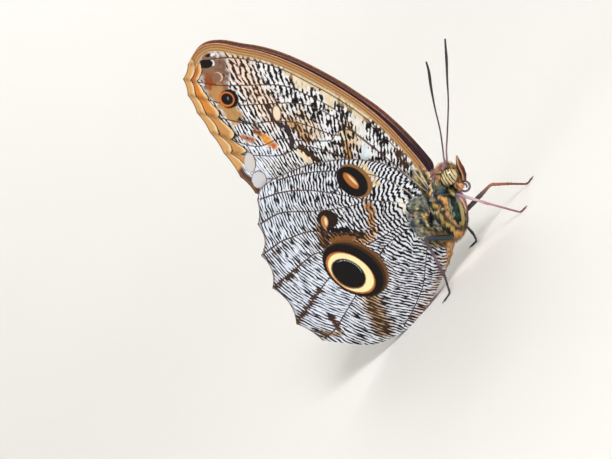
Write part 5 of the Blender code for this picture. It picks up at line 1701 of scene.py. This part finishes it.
class BodySettings(bpy.types.PropertyGroup):
    density: share_setting("Hair density", "Number of tufts against the usual one", 1.0)
    length: share_setting("Hair length", "Length of the tufts against the usual one", 1.0)
    eye: colour_setting("Eyes", "Ground colour of the eyes", tone(196, 174, 128))
    eye_band: colour_setting("Eye bands", "Colour of the bands across the eyes", tone(50, 46, 20))


class StageSettings(bpy.types.PropertyGroup):
    floor: colour_setting("Floor", "Colour of the plain floor", tone(240, 238, 234))
    power: bpy.props.FloatProperty(name="Key light", description="Power of the key light", default=19.0,
                                   min=0.0, unit="POWER")


class BUTTERFLY_OT_forewings(bpy.types.Operator):
    """Make both forewings, veined sheets with striped scales and a lobed margin"""
    bl_idname = "butterfly.forewings"
    bl_label = "Forewings"

    def execute(self, context):
        make_wings("forewing", context.scene.butterfly_wings)
        return {"FINISHED"}


class BUTTERFLY_OT_hindwings(bpy.types.Operator):
    """Make both hindwings, veined sheets with striped scales and their eyespots"""
    bl_idname = "butterfly.hindwings"
    bl_label = "Hindwings"

    def execute(self, context):
        make_wings("hindwing", context.scene.butterfly_wings)
        return {"FINISHED"}


class BUTTERFLY_OT_body(bpy.types.Operator):
    """Make the skin of head, thorax and abdomen with its coats"""
    bl_idname = "butterfly.body"
    bl_label = "Body and coat"

    def execute(self, context):
        make_body(context.scene.butterfly_body)
        return {"FINISHED"}


class BUTTERFLY_OT_eyes(bpy.types.Operator):
    """Make the two banded eyes"""
    bl_idname = "butterfly.eyes"
    bl_label = "Eyes"

    def execute(self, context):
        make_eyes(eye_material(context.scene.butterfly_body))
        return {"FINISHED"}


class BUTTERFLY_OT_palps(bpy.types.Operator):
    """Make the two upturned palps with their brushes of hair"""
    bl_idname = "butterfly.palps"
    bl_label = "Palps"

    def execute(self, context):
        make_palps(soft_material("palp hair"), context.scene.butterfly_body)
        return {"FINISHED"}


class BUTTERFLY_OT_limbs(bpy.types.Operator):
    """Make the four walking legs and the two small folded forelegs"""
    bl_idname = "butterfly.limbs"
    bl_label = "Legs"

    def execute(self, context):
        shell = soft_material("leg scales", 0.5, 0.25)
        for name in LEGS:
            make_leg(name, shell, context.scene.butterfly_body)
        make_forelegs(shell)
        return {"FINISHED"}


class BUTTERFLY_OT_feelers(bpy.types.Operator):
    """Make the two ringed feelers and the coiled tongue"""
    bl_idname = "butterfly.feelers"
    bl_label = "Feelers and tongue"

    def execute(self, context):
        shell = soft_material("feeler shell", 0.5, 0.25)
        for name in FEELERS:
            make_feeler(name, shell)
        make_tongue(shell)
        return {"FINISHED"}


class BUTTERFLY_OT_stage(bpy.types.Operator):
    """Make the pale floor, the soft lights and the camera"""
    bl_idname = "butterfly.stage"
    bl_label = "Stage"

    def execute(self, context):
        make_floor(context.scene.butterfly_stage.floor)
        make_lights(context.scene.butterfly_stage.power)
        make_camera()
        return {"FINISHED"}


SETTINGS = {"butterfly_wings": WingSettings, "butterfly_body": BodySettings, "butterfly_stage": StageSettings}
OPERATORS = (BUTTERFLY_OT_forewings, BUTTERFLY_OT_hindwings, BUTTERFLY_OT_body, BUTTERFLY_OT_eyes,
             BUTTERFLY_OT_palps, BUTTERFLY_OT_limbs, BUTTERFLY_OT_feelers, BUTTERFLY_OT_stage)


class BUTTERFLY_PT_pieces(bpy.types.Panel):
    """Lists the sizes and colours, and the pieces in the order in which they are made"""
    bl_idname = "BUTTERFLY_PT_pieces"
    bl_label = "Butterfly"
    bl_space_type = "VIEW_3D"
    bl_region_type = "UI"
    bl_category = "Butterfly"

    def draw(self, context):
        for key, group in SETTINGS.items():
            box = self.layout.box()
            for name in group.__annotations__:
                box.prop(getattr(context.scene, key), name)
        for operator in OPERATORS:
            self.layout.operator(operator.bl_idname)


def register():
    for item in (*SETTINGS.values(), *OPERATORS, BUTTERFLY_PT_pieces):
        bpy.utils.register_class(item)
    for key, group in SETTINGS.items():
        setattr(bpy.types.Scene, key, bpy.props.PointerProperty(type=group))


def unregister():
    for key in SETTINGS:
        delattr(bpy.types.Scene, key)
    for item in (BUTTERFLY_PT_pieces, *reversed(OPERATORS), *reversed(SETTINGS.values())):
        bpy.utils.unregister_class(item)


def main():
    register()
    bpy.ops.butterfly.forewings()
    bpy.ops.butterfly.hindwings()
    bpy.ops.butterfly.body()
    bpy.ops.butterfly.eyes()
    bpy.ops.butterfly.palps()
    bpy.ops.butterfly.limbs()
    bpy.ops.butterfly.feelers()
    bpy.ops.butterfly.stage()


if __name__ == "__main__":
    main()
